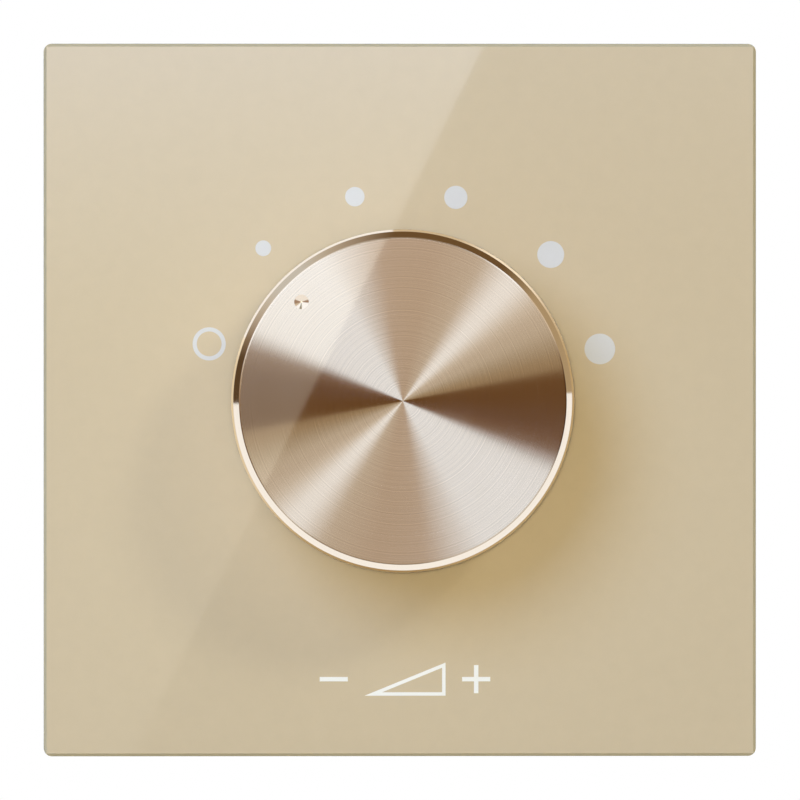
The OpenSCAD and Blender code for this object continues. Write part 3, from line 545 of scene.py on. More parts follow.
def shaded_by_angle(piece, degrees):
    """Smooth shading over the small edges, with the flat faces kept flat and the sharper edges kept sharp."""
    shape = bmesh.new()
    shape.from_mesh(piece.data)
    for face in shape.faces:
        face.smooth = True
    for edge in shape.edges:
        edge.smooth = len(edge.link_faces) == 2 and edge.calc_face_angle(0.0) < math.radians(degrees)
    shape.to_mesh(piece.data)
    shape.free()
    weighted = piece.modifiers.new("edge_shading", "WEIGHTED_NORMAL")
    weighted.keep_sharp = True
    weighted.weight = 80
    settled(piece)


def rounded(profile, radius, steps):
    """Points of a profile of (distance from the axis, depth) whose marked corners are rounded off."""
    points = []
    for index, (point, mark) in enumerate(profile):
        here = Vector(point)
        if not mark:
            points.append(here)
            continue
        before = (Vector(profile[index - 1][0]) - here).normalized()
        after = (Vector(profile[index + 1][0]) - here).normalized()
        half = before.angle(after) / 2
        cut = radius / math.tan(half)
        centre = here + (before + after).normalized() * (radius / math.sin(half))
        first = here + before * cut - centre
        last = here + after * cut - centre
        sweep = first.angle_signed(last)
        for step in range(steps + 1):
            turned = first.copy()
            turned.rotate(Matrix.Rotation(-sweep * step / steps, 2))
            points.append(centre + turned)
    return points


knob_finishes = [spun_face, polished_chamfer, finishes["spun_aluminium"]]
FACE, CHAMFER, SIDE = range(3)


def pointer_drill():
    """The tool whose point leaves the pointer dimple in the knob's face: a blunt cone."""
    tip_radius = 0.1 * mm
    mouth_radius = 1.7 * mm
    height = 0.96 * mm
    depth = 0.45 * mm
    angle = math.radians(135.62)
    reach = knob_radius - 3.41 * mm
    shape = bmesh.new()
    bmesh.ops.create_cone(shape, cap_ends=True, segments=48, radius1=tip_radius, radius2=mouth_radius,
                          depth=height, matrix=Matrix.Translation((0, 0, height / 2)))
    bmesh.ops.rotate(shape, verts=shape.verts, cent=(0, 0, 0), matrix=Matrix.Rotation(math.pi / 2, 3, "X"))
    spot = Vector((reach * math.cos(angle), knob_face + depth, reach * math.sin(angle)))
    bmesh.ops.translate(shape, verts=shape.verts, vec=spot)
    bmesh.ops.recalc_face_normals(shape, faces=shape.faces)
    for face in shape.faces:
        face.material_index = CHAMFER
        face.smooth = True
    return new_piece("pointer_drill", mesh_of(shape, "pointer_drill"), knob_finishes)


def turned_knob():
    """The knob's cap, turned on its axis, with small rounded edges and the drilled pointer dimple."""
    face_radius = knob_radius - 0.76 * mm
    edge_radius = knob_radius - 0.09 * mm
    top_radius = knob_radius + 0.17 * mm
    foot_radius = knob_radius - 0.2 * mm
    inner_radius = knob_radius - 3.2 * mm
    base_chamfer = 0.4 * mm
    lip_width = 0.15 * mm
    # Each slope is the way along the axis over the way along the radius.
    lip_slope = 0.51
    chamfer_slope = 0.853
    rim_slope = 1.26
    lip_end = knob_face + lip_slope * lip_width
    chamfer_end = lip_end + chamfer_slope * (edge_radius - face_radius)
    rim_end = chamfer_end + rim_slope * (top_radius - edge_radius)
    polish_end = rim_end + 0.03 * mm
    ceiling = knob_face + 2 * mm
    face_tilt = math.radians(0.061)
    edge_rounding = 0.06 * mm
    rounding_steps = 4
    segments = 256
    profile = [
        ((0.0, knob_face), False),
        ((face_radius - lip_width, knob_face), True),
        ((face_radius, lip_end), True),
        ((edge_radius, chamfer_end), True),
        ((top_radius, rim_end), True),
        ((foot_radius, knob_base - base_chamfer), True),
        ((foot_radius - base_chamfer, knob_base), True),
        ((inner_radius, knob_base), False),
        ((inner_radius, ceiling), False),
    ]
    points = rounded(profile, edge_rounding, rounding_steps)[1:]
    shape = bmesh.new()
    rings = []
    for point in points:
        near_face = max(0.0, 1.0 - (point.y - knob_face) / (rim_end - knob_face))
        ring = []
        for segment in range(segments):
            angle = 2 * math.pi * segment / segments
            across = point.x * math.cos(angle)
            depth = point.y + face_tilt * across * near_face
            ring.append(shape.verts.new((across, depth, point.x * math.sin(angle))))
        rings.append(ring)
    for index in range(len(rings) - 1):
        near, far = rings[index], rings[index + 1]
        depth = (points[index].y + points[index + 1].y) / 2
        for segment in range(segments):
            onward = (segment + 1) % segments
            face = shape.faces.new((near[segment], near[onward], far[onward], far[segment]))
            face.material_index = CHAMFER if depth < polish_end else SIDE
            face.smooth = True
    shape.faces.new(rings[0]).material_index = FACE
    shape.faces.new(rings[-1]).material_index = SIDE
    bmesh.ops.recalc_face_normals(shape, faces=shape.faces)

    drill = pointer_drill()
    knob = new_piece("knob_turned_cap", mesh_of(shape, "knob_turned_cap"), knob_finishes)
    hole = knob.modifiers.new("pointer", "BOOLEAN")
    hole.operation = "DIFFERENCE"
    hole.solver = "EXACT"
    hole.object = drill
    settled(knob)
    bpy.data.objects.remove(drill)
    shaded_by_angle(knob, 24)
    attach(knob, "knob")
    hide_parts("knob_cap")


turned_knob()


# Eased pieces

merge_distance = 0.0001 * mm
flat_within = math.radians(0.3)
outer_corner = math.radians(40)
straight_on = math.radians(35)


def outer_chains(shape, starts):
    """The outer edges that a rounding runs along.

    They are the ones to start from, and what goes on from them without a corner.
    """
    outer = {edge for edge in shape.edges if edge.is_convex and edge.calc_face_angle(0.0) > outer_corner}
    chosen = {edge for edge in outer if starts(edge)}
    waiting = list(chosen)
    while waiting:
        edge = waiting.pop()
        for corner in edge.verts:
            ahead = corner.co - edge.other_vert(corner).co
            for following in corner.link_edges:
                onward = following.other_vert(corner).co - corner.co
                if following in outer and following not in chosen and ahead.angle(onward) < straight_on:
                    chosen.add(following)
                    waiting.append(following)
    return chosen


def eased(node, width, starts, sunk=None):
    """The CAD piece again with its outer edges eased by a small rounding, as moulding leaves them.

    Faces that sunk picks get a dark steel colour: painted shade for the shadow inside a recess.
    """
    shape = bmesh.new()
    shape.from_mesh(nodes[node].data)
    bmesh.ops.remove_doubles(shape, verts=shape.verts, dist=merge_distance)
    bmesh.ops.dissolve_limit(shape, angle_limit=flat_within, verts=shape.verts, edges=shape.edges)
    weight = shape.edges.layers.float.new("bevel_weight_edge")
    for edge in outer_chains(shape, starts):
        edge[weight] = 1.0
    for face in shape.faces:
        face.material_index = 1 if sunk and sunk(face.calc_center_median()) else 0
    look = [finishes[slot_of[node]]]
    if sunk:
        look.append(painted_recess_shade)
    piece = new_piece(node + "_eased", mesh_of(shape, node + "_eased"), look)
    bevel = piece.modifiers.new("eased", "BEVEL")
    bevel.limit_method = "WEIGHT"
    bevel.use_clamp_overlap = sunk is None
    bevel.width = width
    bevel.segments = 3
    settled(piece)
    shaded_by_angle(piece, 32)
    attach(piece, "wall_unit")
    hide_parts(node)


def longer_than(length):
    return lambda edge: edge.calc_length() > length


def near_the_border(edge):
    border_start = 28 * mm
    middle = (edge.verts[0].co + edge.verts[1].co) / 2
    return max(abs(middle.x), abs(middle.z)) > border_start


head_reach = 2.8 * mm


def eased_screws(node, places):
    """Screws at the given (x, z) places: the heads have rounded rims, and their cross recesses are coloured
    dark as painted shade.
    """
    top = corners(node)[1].y
    slack = 0.02 * mm
    recess_depth = 1.9 * mm
    recess_reach = 0.65 * head_reach

    def from_axis(point):
        return min(math.hypot(point.x - x, point.z - z) for x, z in places)

    def on_rim(edge):
        return all(abs(from_axis(corner.co) - head_reach) < slack and corner.co.y > top - slack
                   for corner in edge.verts)

    # Faces found here are coloured with the painted recess shade.
    def in_recess(point):
        return from_axis(point) < recess_reach and top - recess_depth < point.y < top - slack

    eased(node, 0.6 * mm, on_rim, in_recess)


eased("front_frame", 0.25 * mm, longer_than(0.7 * mm))
eased("base_plate", 0.25 * mm, near_the_border)
eased("terminal_body", 0.25 * mm, longer_than(3 * mm))
eased("transformer_bobbin", 0.18 * mm, longer_than(0.7 * mm))
eased("transformer_strap", 0.12 * mm, longer_than(0.5 * mm))
eased("board_spacers", 0.15 * mm, longer_than(3 * mm))
screw_low, screw_high = corners("board_screws")
eased_screws("board_screws", [(x, z) for x in (screw_low.x + head_reach, screw_high.x - head_reach)
                              for z in (screw_low.z + head_reach, screw_high.z - head_reach)])
screw_low, screw_high = corners("strap_screws")
eased_screws("strap_screws", [(x, (screw_low.z + screw_high.z) / 2)
                              for x in (screw_low.x + head_reach, screw_high.x - head_reach)])


# Patterns made by geometry nodes

def pattern_tree(name, inputs):
    """Starts a geometry node tree with named inputs, of which the finish is the last."""
    inputs = [("Geometry", GEOMETRY, None)] + inputs + [("Material", MATERIAL, None)]
    return new_tree(name, "GeometryNodeTree", inputs, [("Geometry", GEOMETRY)])


def finish_tree(tree, geometry, start, end):
    """Ends a tree in real geometry with its finish."""
    real = add(tree, "GeometryNodeRealizeInstances", {}, {"Geometry": geometry})
    painted = add(tree, "GeometryNodeSetMaterial", {}, {
        "Geometry": real.outputs["Geometry"], "Material": start.outputs["Material"],
    })
    tree.links.new(painted.outputs["Geometry"], end.inputs["Geometry"])


def patterned(name, points, edges, tree, values, finish, body):
    """A piece that a geometry node tree makes from points and the lines between them."""
    mesh = bpy.data.meshes.new(name)
    mesh.from_pydata(points, edges, [])
    piece = new_piece(name, mesh, [])
    modifier = piece.modifiers.new(name, "NODES")
    modifier.node_group = tree
    chosen = dict(values, Material=finish)
    for item in tree.interface.items_tree:
        if item.item_type == "SOCKET" and item.in_out == "INPUT" and item.name in chosen:
            modifier[item.identifier] = chosen[item.name]
    settled(piece)
    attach(piece, body)


def make_level_marks():
    """A round mark at every point, each a step larger than the one before."""
    tree, start, end = pattern_tree("level_marks", [
        ("First Size", FLOAT, 2 * mm),
        ("Size Step", FLOAT, 0.4 * mm),
        ("Thickness", FLOAT, 0.04 * mm),
    ])
    number = tree.nodes.new("GeometryNodeInputIndex").outputs[0]
    size = maths(tree, "ADD", start.outputs["First Size"],
                 maths(tree, "MULTIPLY", number, start.outputs["Size Step"]))
    scale = add(tree, "ShaderNodeCombineXYZ", {}, {
        "X": size, "Y": size, "Z": start.outputs["Thickness"],
    }).outputs[0]
    dot = add(tree, "GeometryNodeMeshCylinder", {}, {"Vertices": 72, "Radius": 0.5, "Depth": 1.0})
    placed = add(tree, "GeometryNodeInstanceOnPoints", {}, {
        "Points": start.outputs["Geometry"], "Instance": dot.outputs["Mesh"],
        "Rotation": (math.pi / 2, 0, 0), "Scale": scale,
    })
    finish_tree(tree, placed.outputs["Instances"], start, end)
    return tree


def make_solder_joints():
    """A cone of solder at every point."""
    tree, start, end = pattern_tree("solder_joints", [
        ("Foot", FLOAT, 1 * mm),
        ("Tip", FLOAT, 0.4 * mm),
        ("Height", FLOAT, 0.8 * mm),
        ("Turn", VECTOR, (-math.pi / 2, 0, 0)),
    ])
    cone = add(tree, "GeometryNodeMeshCone", {}, {
        "Vertices": 20, "Side Segments": 3, "Radius Top": start.outputs["Tip"],
        "Radius Bottom": start.outputs["Foot"], "Depth": start.outputs["Height"],
    })
    placed = add(tree, "GeometryNodeInstanceOnPoints", {}, {
        "Points": start.outputs["Geometry"], "Instance": cone.outputs["Mesh"],
        "Rotation": start.outputs["Turn"],
    })
    finish_tree(tree, placed.outputs["Instances"], start, end)
    return tree


def make_flat_lines():
    """Flat raised lines with rounded bends along the given edges, for tracks and legend outlines."""
    tree, start, end = pattern_tree("flat_lines", [
        ("Width", FLOAT, 1 * mm),
        ("Bend", FLOAT, 1 * mm),
        ("Level", FLOAT, 0.0),
        ("Flatness", FLOAT, 0.08),
    ])
    path = add(tree, "GeometryNodeMeshToCurve", {}, {"Mesh": start.outputs["Geometry"]})
    bent = add(tree, "GeometryNodeFilletCurve", {}, {
        "Curve": path.outputs["Curve"], "Radius": start.outputs["Bend"],
    })
    half = maths(tree, "MULTIPLY", start.outputs["Width"], 0.5)
    section = add(tree, "GeometryNodeCurvePrimitiveCircle", {}, {"Resolution": 10, "Radius": half})
    swept = add(tree, "GeometryNodeCurveToMesh", {}, {
        "Curve": bent.outputs["Curve"], "Profile Curve": section.outputs["Curve"], "Fill Caps": True,
    })
    place = axes(tree, tree.nodes.new("GeometryNodeInputPosition").outputs[0])
    above = maths(tree, "SUBTRACT", place["Y"], start.outputs["Level"])
    pressed = maths(tree, "ADD", start.outputs["Level"],
                    maths(tree, "MULTIPLY", above, start.outputs["Flatness"]))
    spot = add(tree, "ShaderNodeCombineXYZ", {}, {
        "X": place["X"], "Y": pressed, "Z": place["Z"],
    })
    flat = add(tree, "GeometryNodeSetPosition", {}, {
        "Geometry": swept.outputs["Mesh"], "Position": spot.outputs[0],
    })
    finish_tree(tree, flat.outputs["Geometry"], start, end)
    return tree


level_marks = make_level_marks()
solder_joints = make_solder_joints()
flat_lines = make_flat_lines()


# Print on the glass

print_thickness = 0.04 * mm
print_level = glass_front - print_thickness / 2
mark_centre = Vector((0.48 * mm, print_level, 1.09 * mm))
mark_radius = 24.19 * mm


def on_mark_arc(degrees):
    angle = math.radians(degrees)
    return mark_centre + mark_radius * Vector((math.cos(angle), 0, math.sin(angle)))


patterned("level_dots", [on_mark_arc(a) for a in (134.6, 104.2, 75.0, 42.9, 12.1)], [], level_marks, {
    "First Size": 1.9 * mm, "Size Step": 0.45 * mm, "Thickness": print_thickness,
}, mark_ink, "wall_unit")


def printed(name, shape, finish):
    """Ends a print on the glass from its closed shape."""
    bmesh.ops.recalc_face_normals(shape, faces=shape.faces)
    piece = new_piece(name, mesh_of(shape, name), [finish])
    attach(piece, "wall_unit")


def flat_print(name, outlines, finish):
    """Thin closed prisms on the glass from outlines of (x, z) points in metres."""
    front_level = print_level - print_thickness / 2
    shape = bmesh.new()
    for outline in outlines:
        face = shape.faces.new([shape.verts.new((x, front_level, z)) for x, z in outline])
        grown = bmesh.ops.extrude_face_region(shape, geom=[face])
        moved = [item for item in grown["geom"] if isinstance(item, bmesh.types.BMVert)]
        bmesh.ops.translate(shape, verts=moved, vec=(0, print_thickness, 0))
    printed(name, shape, finish)


def flat_band(name, outer, inner, finish):
    """A thin closed band on the glass between two outlines of as many (x, z) points in metres."""
    shape = bmesh.new()
    loops = []
    for outline, side in ((outer, 0.5), (outer, -0.5), (inner, -0.5), (inner, 0.5)):
        depth = print_level + side * print_thickness
        loops.append([shape.verts.new((x, depth, z)) for x, z in outline])
    for near, far in zip(loops, loops[1:] + loops[:1]):
        for i in range(len(near)):
            j = (i + 1) % len(near)
            shape.faces.new((near[i], near[j], far[j], far[i]))
    printed(name, shape, finish)


def circle_points(middle, radius, count):
    angles = [2 * math.pi * i / count for i in range(count)]
    return [(middle.x + radius * math.cos(a), middle.z + radius * math.sin(a)) for a in angles]


# The hollow ring marks the off position.
off_place = on_mark_arc(166.4)
ring_steps = 96
flat_band("off_ring", circle_points(off_place, 2.0 * mm, ring_steps),
          circle_points(off_place, 1.5 * mm, ring_steps), mark_ink)

symbol_x = 0.6 * mm
symbol_z = -33.7 * mm


def symbol_points(points):
    return [(symbol_x + x * mm, symbol_z + z * mm) for x, z in points]


flat_print("volume_signs", [
    symbol_points([(-10.3, -0.27), (-6.9, -0.27), (-6.9, 0.27), (-10.3, 0.27)]),
    symbol_points([
        (6.9, -0.27), (8.33, -0.27), (8.33, -1.7), (8.87, -1.7), (8.87, -0.27), (10.3, -0.27),
        (10.3, 0.27), (8.87, 0.27), (8.87, 1.7), (8.33, 1.7), (8.33, 0.27), (6.9, 0.27),
    ]),
], symbol_ink)
flat_band("volume_wedge", symbol_points([(-4.9, -2.0), (4.9, -2.0), (4.9, 2.0)]),
          symbol_points([(-2.759, -1.58), (4.48, -1.58), (4.48, 1.375)]), symbol_ink)


# Board dressing

def on_board(points, level):
    return [(x * mm, level, z * mm) for x, z in points]


contact_circle = 8.8
contact_angles = [math.radians(30 * i) for i in range(12)]
switch_pins = [(contact_circle * math.cos(a), contact_circle * math.sin(a)) for a in contact_angles]
switch_pins.append((contact_circle / 2, 0.0))
coil_pins = [((i - 2.5) * 2.567, 23.25) for i in range(6)]
wire_pins = [((i - 1.5) * 5.08, -22.7) for i in range(4)]
for name, pins, level, foot, tip, way in (
    ("switch_solder", switch_pins, board_rear, 1.0, 0.42, -1),
    ("transformer_solder", coil_pins, board_front, 0.9, 0.4, 1),
    ("terminal_solder", wire_pins, board_front, 1.2, 0.55, 1),
):
    patterned(name, on_board(pins, level), [], solder_joints, {
        "Foot": foot * mm, "Tip": tip * mm, "Height": 0.9 * mm, "Turn": (way * math.pi / 2, 0, 0),
    }, solder, "wall_unit")


def joined_lines(lines, level):
    """Points and edges of several open lines on a face of the board."""
    points = []
    edges = []
    for line in lines:
        first = len(points)
        points += on_board(line, level)
        edges += [(first + i, first + i + 1) for i in range(len(line) - 1)]
    return points, edges


track_points, track_edges = joined_lines([
    [(0.0, -8.8), (0.0, -12.0), (2.54, -14.5), (2.54, -19.0)],
    [(-4.4, -7.62), (-4.4, -11.5), (-2.54, -13.4), (-2.54, -19.0)],
    [(4.4, 0.0), (4.4, -4.2), (6.3, -6.1), (7.62, -8.0), (7.62, -19.0)],
    [(-7.62, -4.4), (-10.5, -7.3), (-10.5, -14.0), (-7.62, -16.9), (-7.62, -19.0)],
    [(-8.8, 0.0), (-15.5, 0.0), (-17.5, 2.0), (-17.5, 9.0)],
    [(8.8, 0.0), (15.5, 0.0), (17.5, 2.0), (17.5, 9.0)],
], board_rear)
patterned("board_tracks", track_points, track_edges, flat_lines, {
    "Width": 1.1 * mm, "Bend": 0.8 * mm, "Level": board_rear, "Flatness": 0.09,
}, track_copper, "wall_unit")
legend_points, legend_edges = joined_lines([
    [(-11.6, -17.6), (11.6, -17.6), (11.6, -27.8), (-11.6, -27.8), (-11.6, -17.6)],
    [(-15.0, 3.0), (-15.0, 27.6), (15.0, 27.6), (15.0, 3.0), (-15.0, 3.0)],
], board_rear)
patterned("board_legend", legend_points, legend_edges, flat_lines, {
    "Width": 0.25 * mm, "Bend": 0.3 * mm, "Level": board_rear, "Flatness": 0.2,
}, legend_ink, "wall_unit")


# Stage

def card_from(name, points, faces, finish):
    """A card that only shows as a reflection in glass and metal."""
    mesh = bpy.data.meshes.new(name)
    mesh.from_pydata(points, [], faces)
    card = new_piece(name, mesh, [finish])
    card.visible_camera = False
    card.visible_diffuse = False
    card.visible_transmission = False
    card.visible_volume_scatter = False
    card.visible_shadow = False


def seen_as_backdrop(tree):
    """1 for a ray that looks at the backdrop, also in metal or glass, and 0 for light on the object."""
    path = tree.nodes.new("ShaderNodeLightPath").outputs
    seen = maths(tree, "ADD", path["Is Camera Ray"], path["Is Glossy Ray"])
    return maths(tree, "MINIMUM", maths(tree, "ADD", seen, path["Is Transmission Ray"]), 1.0)


def white_backdrop_floor():
    """A pale floor: it shows as the white of the backdrop and still takes the object's shadow."""
    half_width = 6
    level = cad_low.z - 0.10
    finish, tree, out = bare_finish("studio_floor")
    seen = seen_as_backdrop(tree)
    pale = blend_colour(tree, seen, (0.4, 0.36, 0.28, 1), (0.9, 0.9, 0.9, 1))
    matt = add(tree, "ShaderNodeBsdfDiffuse", {}, {"Color": pale})
    glow = add(tree, "ShaderNodeEmission", {}, {"Color": (1, 1, 1, 1), "Strength": 1.0})
    away = vectors(tree, "LENGTH", own_place(tree))
    share = maths(tree, "MULTIPLY", seen, ramp(tree, away, 0.3, 0.9, 0.6, 1.0))
    mixed = add(tree, "ShaderNodeMixShader", {}, {0: share, 1: matt.outputs[0], 2: glow.outputs[0]})
    tree.links.new(mixed.outputs[0], out.inputs["Surface"])
    mesh = bpy.data.meshes.new("studio_floor")
    mesh.from_pydata([
        (-half_width, -half_width, level), (half_width, -half_width, level),
        (half_width, half_width, level), (-half_width, half_width, level),
    ], [], [(0, 1, 2, 3)])
    floor = new_piece("studio_floor", mesh, [finish])
    floor.visible_glossy = False


def studio_sky():
    """A white backdrop to look at, which lights the object only from behind."""
    world = bpy.data.worlds.new("studio")
    world.use_nodes = True
    scene.world = world
    tree = world.node_tree
    tree.nodes.clear()
    out = tree.nodes.new("ShaderNodeOutputWorld")
    seen = seen_as_backdrop(tree)
    way = axes(tree, tree.nodes.new("ShaderNodeTexCoord").outputs["Generated"])
    light = ramp(tree, way["Y"], -0.05, 0.3, 0.0, 0.42)
    unseen = maths(tree, "SUBTRACT", 1.0, seen)
    strength = maths(tree, "ADD", maths(tree, "MULTIPLY", light, unseen), seen)
    colour = blend_colour(tree, seen, (1.0, 0.82, 0.56, 1), (1, 1, 1, 1))
    backdrop = add(tree, "ShaderNodeBackground", {}, {"Color": colour, "Strength": strength})
    tree.links.new(backdrop.outputs[0], out.inputs["Surface"])


white_backdrop_floor()
studio_sky()


def soft_lamp(name, place, aim, size, power, colour, mirrored_too=True):
    """A round lamp that the camera doesn't see, and glass and metal only where mirrored_too is set."""
    data = bpy.data.lights.new(name, "AREA")
    data.color = colour
    data.shape = "DISK"
    data.size = size
    data.energy = power
    lamp = bpy.data.objects.new(name, data)
    lamp.location = place
    lamp.rotation_euler = (Vector(aim) - Vector(place)).to_track_quat("-Z", "Y").to_euler()
    lamp.visible_camera = False
    lamp.visible_glossy = mirrored_too
    scene.collection.objects.link(lamp)


front_aim = (0, -0.01, 0)
rear_aim = (0, 0.02, 0)
soft_lamp("key_lamp", (-0.73, -1.474, 0.73), front_aim, 1.2, 16.0, (0.708, 0.964, 1.537))
soft_lamp("front_fill", (-0.06, -2.0, 0.03), front_aim, 0.06, 14.2, (1.083, 1.003, 0.712), False)
soft_lamp("side_fill", (0.975, -1.157, 0.975), front_aim, 0.35, 5.2, (0.994, 1.009, 0.917), False)
soft_lamp("rear_key", (0.75, 0.95, 0.75), rear_aim, 0.6, 8.5, (0.96, 1.0, 1.04))
soft_lamp("rear_fill", (-0.30, 1.20, 0.10), rear_aim, 0.8, 3.0, (1.04, 1.0, 0.96), False)

# The camera stands a little to the left of the middle and a little above it.
camera_aim = Vector((0.0, glass_front, 0.0))
camera_distance = 2.0
view_width = 96.56 * mm
sensor_width = 36.0
azimuth = math.radians(-1.31)
elevation = math.radians(0.47)
stand = camera_aim + camera_distance * Vector((
    math.sin(azimuth) * math.cos(elevation),
    -math.cos(azimuth) * math.cos(elevation),
    math.sin(elevation),
))
camera_data = bpy.data.cameras.new("photo_camera")
camera_data.sensor_width = sensor_width
camera_data.lens = sensor_width * camera_distance / view_width
camera = bpy.data.objects.new("photo_camera", camera_data)
camera.location = stand
camera.rotation_euler = (camera_aim - stand).to_track_quat("-Z", "Y").to_euler()
scene.collection.objects.link(camera)
scene.camera = camera


def mirrored(x, z, surface, plane):
    """Where the camera's ray to a point of the front is thrown back to on a plane in front."""
    reach = (surface - plane) / (surface - stand.y)
    return x + (x - stand.x) * reach, z + (z - stand.z) * reach


# A fan of cards in front of the knob gives the light and dark wedges of its turned face.
fan_plane = -0.45
fan_x, fan_z = mirrored(0.0, 0.0, knob_face, fan_plane)
fan_inner = 0.10
fan_outer = 1.6
fan_brown = (0.126, 0.047, 0.0065, 1)
fan_dusk = (0.187, 0.086, 0.029, 1)
fan_bronze = (0.36, 0.244, 0.13, 1)
fan_copper = (0.455, 0.355, 0.238, 1)
fan_tan = (0.535, 0.405, 0.295, 1)
fan_straw = (0.595, 0.49, 0.37, 1)
fan_light = (0.605, 0.495, 0.38, 1)
fan_pale = (0.715, 0.615, 0.50, 1)
fan_white = (0.91, 0.915, 0.93, 1)
fan_bright = (1.02, 1.0, 0.985, 1)


def glowing(tree, out, colour, strength):
    """Ends a material in a plain glow."""
    glow = add(tree, "ShaderNodeEmission", {}, {"Color": colour, "Strength": strength})
    tree.links.new(glow.outputs[0], out.inputs["Surface"])


def wedge_glow(name, middle_x, middle_z, turn, stops):
    """A glow whose colour changes with the angle round a middle, and repeats after each given turn."""
    finish, tree, out = bare_finish(name)
    place = axes(tree, own_place(tree))
    across = maths(tree, "SUBTRACT", place["X"], middle_x)
    upward = maths(tree, "SUBTRACT", place["Z"], middle_z)
    angle = maths(tree, "ARCTAN2", upward, across)
    share = maths(tree, "FRACT", maths(tree, "DIVIDE", angle, math.radians(turn)))
    wedges = add(tree, "ShaderNodeValToRGB", {}, {"Fac": share})
    marks = wedges.color_ramp.elements
    for mark, (degrees, colour) in zip((marks[0], marks[1]), (stops[0], stops[-1])):
        mark.position = degrees / turn
        mark.color = colour
    for degrees, colour in stops[1:-1]:
        marks.new(degrees / turn).color = colour
    glowing(tree, out, wedges.outputs["Color"], 1.0)
    return finish


fan_wedges = wedge_glow("fan_wedges", fan_x, fan_z, 180, [
    (0, fan_brown), (10.4, fan_brown), (11.6, fan_bronze), (15, fan_bronze), (21, fan_copper),
    (27, fan_straw), (32, fan_light), (37, fan_pale), (45, fan_bright), (50, fan_bright), (60, fan_light),
    (79, fan_tan), (99, fan_tan), (119, fan_white), (154.2, fan_white), (161.3, fan_dusk),
    (170, fan_brown), (180, fan_brown),
])

# Two rings lie round the fan. The thin lip inside the chamfer mirrors the first, and the dimple the second.
fan_cream = (0.93, 0.90, 0.86, 1)
fan_snow = (1.06, 1.10, 1.16, 1)
fan_umber = (0.38, 0.26, 0.18, 1)
fan_olive = (0.33, 0.30, 0.22, 1)
fan_sand = (0.66, 0.55, 0.42, 1)
lip_black = (0.05, 0.022, 0.009, 1)
lip_brown = (0.17, 0.105, 0.06, 1)
lip_tan = (0.30, 0.235, 0.165, 1)
lip_bronze = (0.36, 0.24, 0.145, 1)
lip_gold = (0.48, 0.36, 0.245, 1)
lip_grey = (0.58, 0.53, 0.47, 1)
lip_pale = (0.65, 0.57, 0.50, 1)
lip_wedges = wedge_glow("lip_wedges", fan_x, fan_z, 360, [
    (0, lip_black), (6, lip_black), (14, lip_brown), (24, fan_sand), (38, fan_sand), (45, fan_snow),
    (52, fan_snow), (62, lip_grey), (74, lip_tan), (94, lip_tan), (108, lip_grey), (122, fan_snow),
    (156, fan_snow), (165, lip_pale), (172, lip_gold), (179, lip_bronze), (185, lip_brown), (200, lip_brown),
    (214, lip_tan), (226, lip_grey), (240, lip_tan), (276, lip_tan), (292, lip_grey), (332, lip_grey),
    (344, lip_black), (360, lip_black),
])
dimple_wedges = wedge_glow("dimple_wedges", fan_x, fan_z, 360, [
    (0, fan_umber), (14, fan_umber), (22, fan_sand), (34, fan_sand), (46, fan_snow), (69, fan_snow),
    (76, fan_olive), (89, fan_olive), (96, fan_snow), (167, fan_snow), (176, fan_umber), (191, fan_umber),
    (202, fan_cream), (334, fan_cream), (345, fan_umber), (360, fan_umber),
])
fan_middle = 0.52
fan_lip = 0.68
fan_steps = 72
fan_faces = []
for fan_step in range(fan_steps):
    fan_next = (fan_step + 1) % fan_steps
    fan_faces.append((fan_step, fan_next, fan_steps + fan_next, fan_steps + fan_step))


def ring_card(name, inner, outer, finish):
    points = []
    for radius in (inner, outer):
        for step in range(fan_steps):
            angle = 2 * math.pi * step / fan_steps
            points.append((fan_x + radius * math.cos(angle), fan_plane, fan_z + radius * math.sin(angle)))
    card_from(name, points, fan_faces, finish)


ring_card("fan_card", fan_inner, fan_middle, fan_wedges)
ring_card("lip_card", fan_middle, fan_lip, lip_wedges)
ring_card("dimple_card", fan_lip, fan_outer, dimple_wedges)


def rising_glow(name, low_colour, top_colour, bottom, foot, middle, top):
    """A glow that grows from its foot at the height bottom to its middle at height 0 and on to its top."""
    top_height = 0.048
    tint_height = 0.01
    finish, tree, out = bare_finish(name)
    height = axes(tree, own_place(tree))["Z"]
    low = ramp(tree, height, bottom, 0.0, foot, middle)
    high = ramp(tree, height, 0.0, top_height, 0.0, top - middle)
    tint = ramp(tree, height, tint_height, top_height, 0.0, 1.0)
    glowing(tree, out, blend_colour(tree, tint, low_colour, top_colour), maths(tree, "ADD", low, high))
    return finish


# The middle of the fan is what the glass mirrors: a dim card and, left of a slanting edge, a bright one.
card_gap = 0.002
middle_plane = fan_plane - card_gap
middle_radius = fan_inner * 1.02
middle_steps = 64
middle_points = []
for middle_step in range(middle_steps):
    middle_angle = 2 * math.pi * middle_step / middle_steps
    middle_points.append((fan_x + middle_radius * math.cos(middle_angle), middle_plane,
                          fan_z + middle_radius * math.sin(middle_angle)))
dim_card = rising_glow("dim_card", (1.0, 0.55, 0.2, 1), (0.95, 0.95, 1.1, 1), -0.05, 0.13, 0.19, 0.8)
card_from("middle_card", middle_points, [tuple(range(middle_steps))], dim_card)

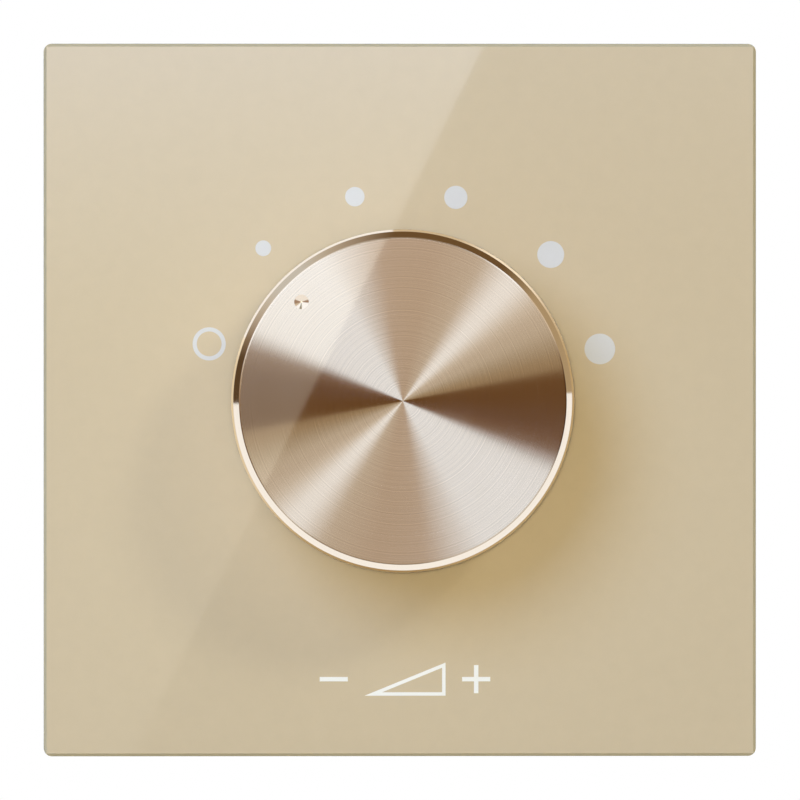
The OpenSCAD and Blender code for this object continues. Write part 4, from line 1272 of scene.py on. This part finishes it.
glare_plane = fan_plane + card_gap
glare_top = Vector(mirrored(10.08 * mm, 42.7 * mm, glass_front, glare_plane))
glare_low = Vector(mirrored(-28.3 * mm, -35.0 * mm, glass_front, glare_plane))
glare_slant = glare_top - glare_low
glare_above = glare_top + 0.3 * glare_slant
glare_below = glare_low - 0.2 * glare_slant
glare_left = fan_x - fan_inner
glare_glow = rising_glow("glare_card", (1.0, 0.88, 0.68, 1), (0.92, 1.0, 1.2, 1), -0.075, 0.6, 1.15, 2.75)
card_from("glare_card", [
    (glare_above.x, glare_plane, glare_above.y),
    (glare_below.x, glare_plane, glare_below.y),
    (glare_left, glare_plane, glare_below.y),
    (glare_left, glare_plane, glare_above.y),
], [(0, 1, 2, 3)], glare_glow)

# An arch above gives the knob's polished chamfer its dark upper half.
arch_dark = (0.10, 0.057, 0.026, 1)
arch_brown = (0.15, 0.085, 0.034, 1)
arch_dusk = (0.25, 0.175, 0.11, 1)
arch_grey = (0.42, 0.345, 0.26, 1)
arch_gold = (0.43, 0.32, 0.185, 1)
arch_sand = (0.46, 0.385, 0.305, 1)
arch_light = (0.53, 0.47, 0.385, 1)
arch_cream = (0.58, 0.52, 0.44, 1)
arch_pale = (0.60, 0.58, 0.54, 1)
arch_wedges = wedge_glow("arch_wedges", 0.0, 0.0, 360, [
    (3, arch_gold), (36, arch_gold), (52, arch_brown), (92, arch_brown), (111, arch_grey),
    (119, arch_light), (127, arch_pale), (138, arch_pale), (144, arch_cream), (151, arch_sand),
    (158, arch_dusk), (165, arch_dark), (182, arch_dark),
])
arch_radius = 0.6
arch_steps = 60
arch_faces = [(i, i + 1, arch_steps + 2 + i, arch_steps + 1 + i) for i in range(arch_steps)]


def arch_card(name, first, last, depths, finish):
    """A strip bent round the knob's axis from one angle in degrees to another."""
    points = []
    for depth in depths:
        for step in range(arch_steps + 1):
            angle = math.radians(first + (last - first) * step / arch_steps)
            points.append((arch_radius * math.cos(angle), depth, arch_radius * math.sin(angle)))
    card_from(name, points, arch_faces, finish)


arch_card("arch_card", 2.2, 181.3, (-0.30, 0.06), arch_wedges)

# A trough behind the glass gives the thin outer line of the rim its gold from the right round to the left.
trough_gold = (0.53, 0.39, 0.20, 1)
trough_deep = (0.40, 0.28, 0.13, 1)
trough_bright = (1.0, 0.90, 0.72, 1)
trough_pale = (0.80, 0.68, 0.48, 1)
trough_plate = (0.66, 0.53, 0.35, 1)
trough_wedges = wedge_glow("trough_wedges", 0.0, 0.0, 360, [
    (0, trough_gold), (14, trough_gold), (30, trough_plate), (42, trough_bright), (58, trough_bright),
    (70, trough_plate), (95, trough_plate), (158, trough_bright), (168, trough_pale), (212, trough_pale),
    (236, trough_gold), (258, trough_deep), (276, trough_deep), (296, trough_gold), (360, trough_gold),
])
arch_card("trough_card", 158, 452, (0.07, 0.30), trough_wedges)
